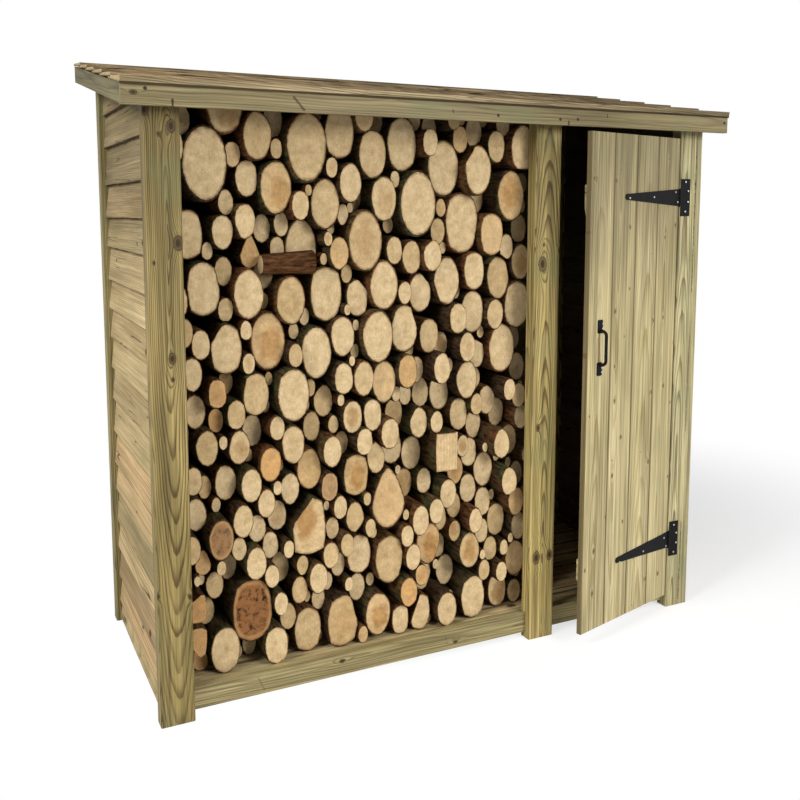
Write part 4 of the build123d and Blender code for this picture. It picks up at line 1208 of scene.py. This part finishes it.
def bark_material(settings):
    """Bark from a dark reddish brown to a mossy green, cracked along the billet."""
    material, g, shader = new_material("Bark")
    log = g.attribute("log")
    place = g.attribute("across", "Vector") + g.join(log * 9.0, 0.0, 0.0)
    crack = g.noise(place * (105.0, 24.0, 105.0), 1.0, 4.0, 0.7)
    patch = g.noise(place * (24.0, 12.0, 24.0), 1.0, 3.0, 0.6)
    red = rgb(settings.bark, 2.0, 1.5, 1.2)
    green = rgb(settings.bark, 0.9, 1.5, 1.1)
    colour = g.mix(g.span(g.math("FRACT", log * 7.1), 0.25, 0.75), rgb(settings.bark), red)
    moss = g.span(g.math("FRACT", log * 13.7), 0.35, 0.75)
    colour = g.mix(moss * g.span(patch, 0.4, 0.6), colour, green)
    pale = g.span(patch, 0.58, 0.72) * 0.4
    colour = g.mix(pale, colour, rgb(settings.bark, 3.2, 2.9, 2.6))
    tone = g.ramp(crack, 0.35, 0.65, 0.25, 1.7)
    colour = g.tint(colour, tone)
    g.relief(shader, 0.8, 0.003, crack)
    g.feed_all(shader, Base_Color=colour, Roughness=g.ramp(crack, 0.3, 0.7, 0.98, 0.85),
               Specular_IOR_Level=0.05)
    return material


# Billets that stand out: (place across, height), (squared, taper, split at), facing angle,
# (rot, warm, brown heart), whether its rings run straight
MARKED = (
    ((-0.638, 0.250), (0.2, 0.0, WHOLE), 0.0, (1.0, 0.0, 0.0), 0.0),
    ((-0.008, 0.633), (1.0, 0.02, WHOLE), 0.0, (0.0, 0.15, 0.0), 1.0),
    ((-0.214, 0.518), (0.0, 0.42, WHOLE), 0.0, (0.0, 0.35, 0.2), 0.0),
    ((-0.468, 0.471), (0.5, 0.12, 0.6), 2.2, (0.0, 0.2, 0.9), 0.0),
    ((-0.577, 0.666), (0.1, 0.0, WHOLE), 0.0, (0.0, 1.0, 0.2), 0.0),
    ((-0.088, 0.099), (0.3, -0.1, 0.45), 2.6, (0.0, 0.1, 0.0), 0.0),
    ((-0.647, 1.276), (0.2, 0.5, WHOLE), 0.0, (0.0, 0.6, 0.3), 0.0),
    ((-0.769, 0.431), (0.2, 0.45, WHOLE), 0.0, (0.25, 0.7, 0.0), 0.0),
    ((-0.726, 0.459), (0.0, 0.0, WHOLE), 0.0, (0.8, 0.0, 0.0), 0.0),
    ((-0.081, 0.337), (0.0, -0.15, WHOLE), 0.0, (0.0, 0.5, 1.0), 0.0),
    ((0.051, 0.276), (0.0, 0.0, WHOLE), 0.0, (0.0, 0.1, 0.8), 0.0),
    ((-0.322, 0.606), (0.3, 0.05, WHOLE), 0.0, (0.0, 0.2, 0.9), 0.0),
    ((-0.325, 0.573), (0.3, 0.05, WHOLE), 0.0, (0.0, 0.2, 0.9), 0.0),
    ((-0.407, 0.578), (0.3, 0.0, WHOLE), 0.0, (0.55, 0.3, 0.0), 0.0),
    ((-0.791, 0.295), (0.8, 0.2, 0.5), 2.0, (0.35, 0.9, 0.0), 0.0),
    ((-0.789, 0.190), (0.8, -0.2, 0.5), 4.0, (0.35, 0.9, 0.0), 0.0),
    ((-0.796, 0.104), (0.8, 0.1, 0.6), 1.0, (0.55, 0.8, 0.0), 0.0),
    ((-0.245, 0.157), (0.0, 0.0, WHOLE), 0.0, (0.0, 0.35, 0.9), 0.0),
    ((-0.112, 0.214), (0.1, 0.0, WHOLE), 0.0, (0.0, 0.5, 0.6), 0.0),
    ((-0.191, 0.213), (0.0, 0.0, WHOLE), 0.0, (0.0, 1.0, 0.5), 0.0),
    ((-0.719, 0.881), (0.3, 0.0, WHOLE), 0.0, (0.3, 0.7, 0.4), 0.0),
    ((-0.737, 0.810), (0.1, 0.0, WHOLE), 0.0, (0.1, 0.9, 0.4), 0.0),
    ((-0.354, 0.160), (0.3, 0.05, 0.8), 0.4, (0.0, 0.15, 0.3), 0.0),
)


class LOGSTORE_OT_firewood(Step, bpy.types.Operator):
    """Turns the stack's plain billets into sawn and split logs with bark"""
    bl_idname = "logstore.firewood"
    bl_label = "Firewood"

    def execute(self, context):
        settings = context.scene.log_store
        chance = Random(4)
        thick = link("Thick billet", unit_billet(settings.billet_sides))
        thin = link("Thin billet", unit_billet(settings.billet_sides * 3 // 5))
        inputs = {"Thick billet": thick, "Thin billet": thin, "Sway": settings.billet_sway,
                  "Sawn": sawn_material(settings), "Bark": bark_material(settings)}
        layers = {name: [] for name in sorted(NODES) if name.startswith("firewood_layer")}
        for name, found in layers.items():
            for part in loose_parts(NODES[name]):
                front, back = part[:, 1].min(), part[:, 1].max()
                x, z, wide, head = oval_through(part[part[:, 1] < front + 0.001][:, [0, 2]])
                found.append(dict(x=x, z=z, front=front, back=back, wide=wide * 1.03, head=head))
        every = [billet for found in layers.values() for billet in found]
        foremost = min(billet["front"] for billet in every)
        for billet in every:
            billet["front"] = foremost + 0.7 * (billet["front"] - foremost)
            billet["deep"] = billet["back"] - billet["front"]
            billet["shape"] = (chance.choice((0.0, 0.0, 0.1, 0.2)), chance.uniform(-0.08, 0.08),
                               chance.choice((*[WHOLE] * 5, 0.82)))
            billet["turn"] = chance.uniform(-3, 3)
            billet["mood"] = (0.0, chance.uniform(0.2, 0.6) * (chance.random() < 0.08),
                              chance.uniform(0.2, 0.8) * (chance.random() < 0.14))
            billet["block"] = 0.0
        for (x, z), shape, turn, mood, block in MARKED:
            billet = min(every, key=lambda b: (b["x"] - x) ** 2 + ((b["z"] - z) / TALLER) ** 2)
            billet.update(shape=shape, turn=turn, mood=mood, block=block)
        low, high = (Vector(corner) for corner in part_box("crosswise_billet"))
        tops = [max(b["z"] for b in found) for found in layers.values()]
        for stick in self.sticks(every, low, high, chance):
            level = next((n for n, top in enumerate(tops) if stick["z"] < top), len(tops) - 1)
            list(layers.values())[level].append(stick)
        for name, found in layers.items():
            self.stand(name, found, inputs, chance)
        radius = (high.z - low.z) / 2
        cross = dict(x=0.0, z=0.0, front=0.0, wide=radius * 0.97, tall=radius * 0.97,
                     deep=high.x - low.x, head=WHOLE, shape=(0.0, 0.0, WHOLE), turn=0.0,
                     mood=(0.0, 0.0, 0.0), block=0.0, log=0.39)
        piece = self.stand("crosswise_billet", [cross], inputs, chance, False)
        for vertex in piece.data.vertices:
            share = vertex.co.y / cross["deep"]
            vertex.co.x *= 0.84 + 0.15 * share
            vertex.co.z = vertex.co.z * (0.84 + 0.15 * share) - 0.004 * (1.0 - share)
        piece.data.transform(Matrix.Translation((low.x, (low.y + high.y) / 2, (low.z + high.z) / 2))
                             @ Matrix.Rotation(-pi / 2, 4, "Z"))
        finish_piece(piece, "store", ["crosswise_billet"])
        for unit in (thick, thin):
            bpy.data.objects.remove(unit)
        return {"FINISHED"}

    def sticks(self, every, low, high, chance):
        """Thin sticks in the gaps between the billets, the widest gap first."""
        x = np.array([b["x"] for b in every])
        level = np.array([b["z"] for b in every]) / TALLER
        wide = np.array([b["wide"] for b in every])
        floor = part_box("log_bay_floor")[1].z / TALLER
        head = max(b["head"] for b in every if b["head"] < 5.0)
        left, right = (x - wide).min(), (x + wide).max()
        across, up = np.meshgrid(np.arange(left, right, GAP_GRID),
                                 np.arange(floor, head / TALLER, GAP_GRID))
        top = np.where((across < left + 0.035) | (across > right - 0.035), head - 0.05,
                       head) / TALLER
        clear = np.minimum.reduce([across - left, right - across, up - floor, top - up])
        for a, b, radius in zip(x, level, wide):
            clear = np.minimum(clear, np.hypot(across - a, up - b) - radius)
        front = min(b["front"] for b in every)
        made = []
        while clear.max() > THIN_STICK:
            spot = np.unravel_index(clear.argmax(), clear.shape)
            a, b, radius = across[spot], up[spot], clear[spot]
            clear = np.minimum(clear, np.hypot(across - a, up - b) - radius)
            if chance.random() > (0.9, 0.5, 0.25)[min(int(b * TALLER / 0.6), 2)] and radius < 0.018:
                continue        # more of the gaps stay open higher up
            crosses = (low.x - radius < a < high.x + radius
                       and low.z - 2 * radius < b * TALLER < high.z + 2 * radius)
            start = high.y + 0.004 if crosses else front + chance.uniform(0.004, 0.085)
            shape = (chance.choice((0.0, 0.2)), chance.uniform(-0.15, 0.15), WHOLE)
            mood = (0.0, 0.3 * (chance.random() < 0.1), 0.4 * (chance.random() < 0.2))
            made.append(dict(x=a, z=b * TALLER, front=start, wide=radius * 0.97, deep=0.45,
                             head=WHOLE, shape=shape, turn=0.0, mood=mood, block=0.0))
        return made

    def stand(self, name, found, inputs, chance, finish=True):
        """Makes one piece of the billets found in a node."""
        attributes = {label: [b[label] for b in found]
                      for label in ("head", "block", "shape", "mood")}
        attributes["size"] = [(b["wide"], b["deep"], b.get("tall", b["wide"] * TALLER))
                              for b in found]
        attributes["girth"] = [b["wide"] for b in found]
        attributes["log"] = [b.get("log", chance.random()) for b in found]
        attributes["facing"] = [(cos(b["turn"]), 0.0, sin(b["turn"])) for b in found]
        piece = run_tree(name + "_logs", [(b["x"], b["front"], b["z"]) for b in found], attributes,
                         shared("Billets", billet_tree), inputs)
        if finish:
            finish_piece(piece, "store", [name])
        return piece


# ---------------------------------------------------------------- studio

class LOGSTORE_OT_studio(Step, bpy.types.Operator):
    """Sets the camera, a plain pale floor and soft studio light"""
    bl_idname = "logstore.studio"
    bl_label = "Studio"

    def execute(self, context):
        scene = context.scene
        scene.view_settings.view_transform = "Standard"
        lens = bpy.data.cameras.new("Camera")
        lens.lens = 41.45
        lens.sensor_width = 36.0
        lens.shift_y = -0.104
        camera = link("Camera", lens)
        camera.location = (-1.3568, -2.6832, 1.3770)
        camera.rotation_euler = Euler((pi / 2 - 0.116, 0.0, -0.4535), "XYZ")
        scene.camera = camera

        world = bpy.data.worlds.new("Studio")
        scene.world = world
        world.use_nodes = True
        g = Graph(world.node_tree)
        shown = seen_directly(g)
        back = world.node_tree.nodes["Background"]
        g.feed(back.inputs["Color"], g.mix(shown, (0.97, 0.985, 1.0, 1.0), WHITE))
        g.feed(back.inputs["Strength"], g.blend(shown, 0.24, 1.0))

        for name, place, aim, size, power in (
                ("Key", (2.2, -5.6, 3.3), (0.0, 0.0, 0.8), 2.4, 275.0),
                ("Side", (-4.4, -1.7, 3.5), (0.0, 0.0, 0.8), 1.8, 178.0)):
            light = bpy.data.lights.new(name, "AREA")
            light.size = size
            light.energy = power
            lamp = link(name, light)
            lamp.location = place
            lamp.rotation_euler = (Vector(aim) - Vector(place)).to_track_quat("-Z", "Y").to_euler()

        mesh = bpy.data.meshes.new("Floor")
        reach = 14.0
        mesh.from_pydata([(-reach, -reach, 0.0), (reach, -reach, 0.0), (reach, reach, 0.0),
                          (-reach, reach, 0.0)], [], [(0, 1, 2, 3)])
        floor = link("Floor", mesh)
        material = bpy.data.materials.new("Pale floor")
        material.use_nodes = True
        g = Graph(material.node_tree)
        material.node_tree.nodes.clear()
        pale = g.node("ShaderNodeBsdfDiffuse", {"Color": (0.82, 0.82, 0.82, 1.0)})
        shown = seen_directly(g)
        glow = g.node("ShaderNodeEmission", {"Color": WHITE,
                                             "Strength": shown * 0.34})
        lit = g.node("ShaderNodeAddShader", [pale.outputs[0], glow.outputs[0]])
        place = g.coords()
        away = g.vector("LENGTH", place - (1.15, 0.55, 0.0))
        white = g.node("ShaderNodeEmission", {"Color": WHITE, "Strength": 1.0})
        fade = shown * g.span(away, 0.2, 1.9)
        both = g.node("ShaderNodeMixShader", [fade, lit.outputs[0], white.outputs[0]])
        g.node("ShaderNodeOutputMaterial", [both.outputs[0]])
        floor.data.materials.append(material)
        return {"FINISHED"}


def seen_directly(g):
    """One for camera, glossy and transmitted rays, so that metal shows the same background."""
    path = g.node("ShaderNodeLightPath").outputs
    some = g.math("MAXIMUM", path["Is Camera Ray"], path["Is Glossy Ray"])
    return g.math("MAXIMUM", some, path["Is Transmission Ray"])


class LOGSTORE_PT_panel(bpy.types.Panel):
    """Lists the log store's pieces and settings."""
    bl_label = "Log Store"
    bl_idname = "LOGSTORE_PT_panel"
    bl_space_type = "VIEW_3D"
    bl_region_type = "UI"
    bl_category = "Log Store"

    def draw(self, context):
        settings = context.scene.log_store
        for name in settings.bl_rna.properties.keys():
            if name not in ("rna_type", "name"):
                self.layout.prop(settings, name)
        for step in STEPS:
            self.layout.operator(step.bl_idname)


STEPS = (LOGSTORE_OT_studio, LOGSTORE_OT_planed_frame, LOGSTORE_OT_wall_boards,
         LOGSTORE_OT_roof_boards, LOGSTORE_OT_floor_boards, LOGSTORE_OT_door,
         LOGSTORE_OT_ironmongery, LOGSTORE_OT_firewood)
CLASSES = (LogStoreSettings, LOGSTORE_PT_panel) + STEPS


def register():
    for kind in CLASSES:
        bpy.utils.register_class(kind)
    bpy.types.Scene.log_store = PointerProperty(type=LogStoreSettings)


def unregister():
    del bpy.types.Scene.log_store
    for kind in reversed(CLASSES):
        bpy.utils.unregister_class(kind)


def main():
    """Makes every piece in order."""
    register()
    bpy.ops.logstore.studio()
    bpy.ops.logstore.planed_frame()
    bpy.ops.logstore.wall_boards()
    bpy.ops.logstore.roof_boards()
    bpy.ops.logstore.floor_boards()
    bpy.ops.logstore.door()
    bpy.ops.logstore.ironmongery()
    bpy.ops.logstore.firewood()


if __name__ == "__main__":
    main()
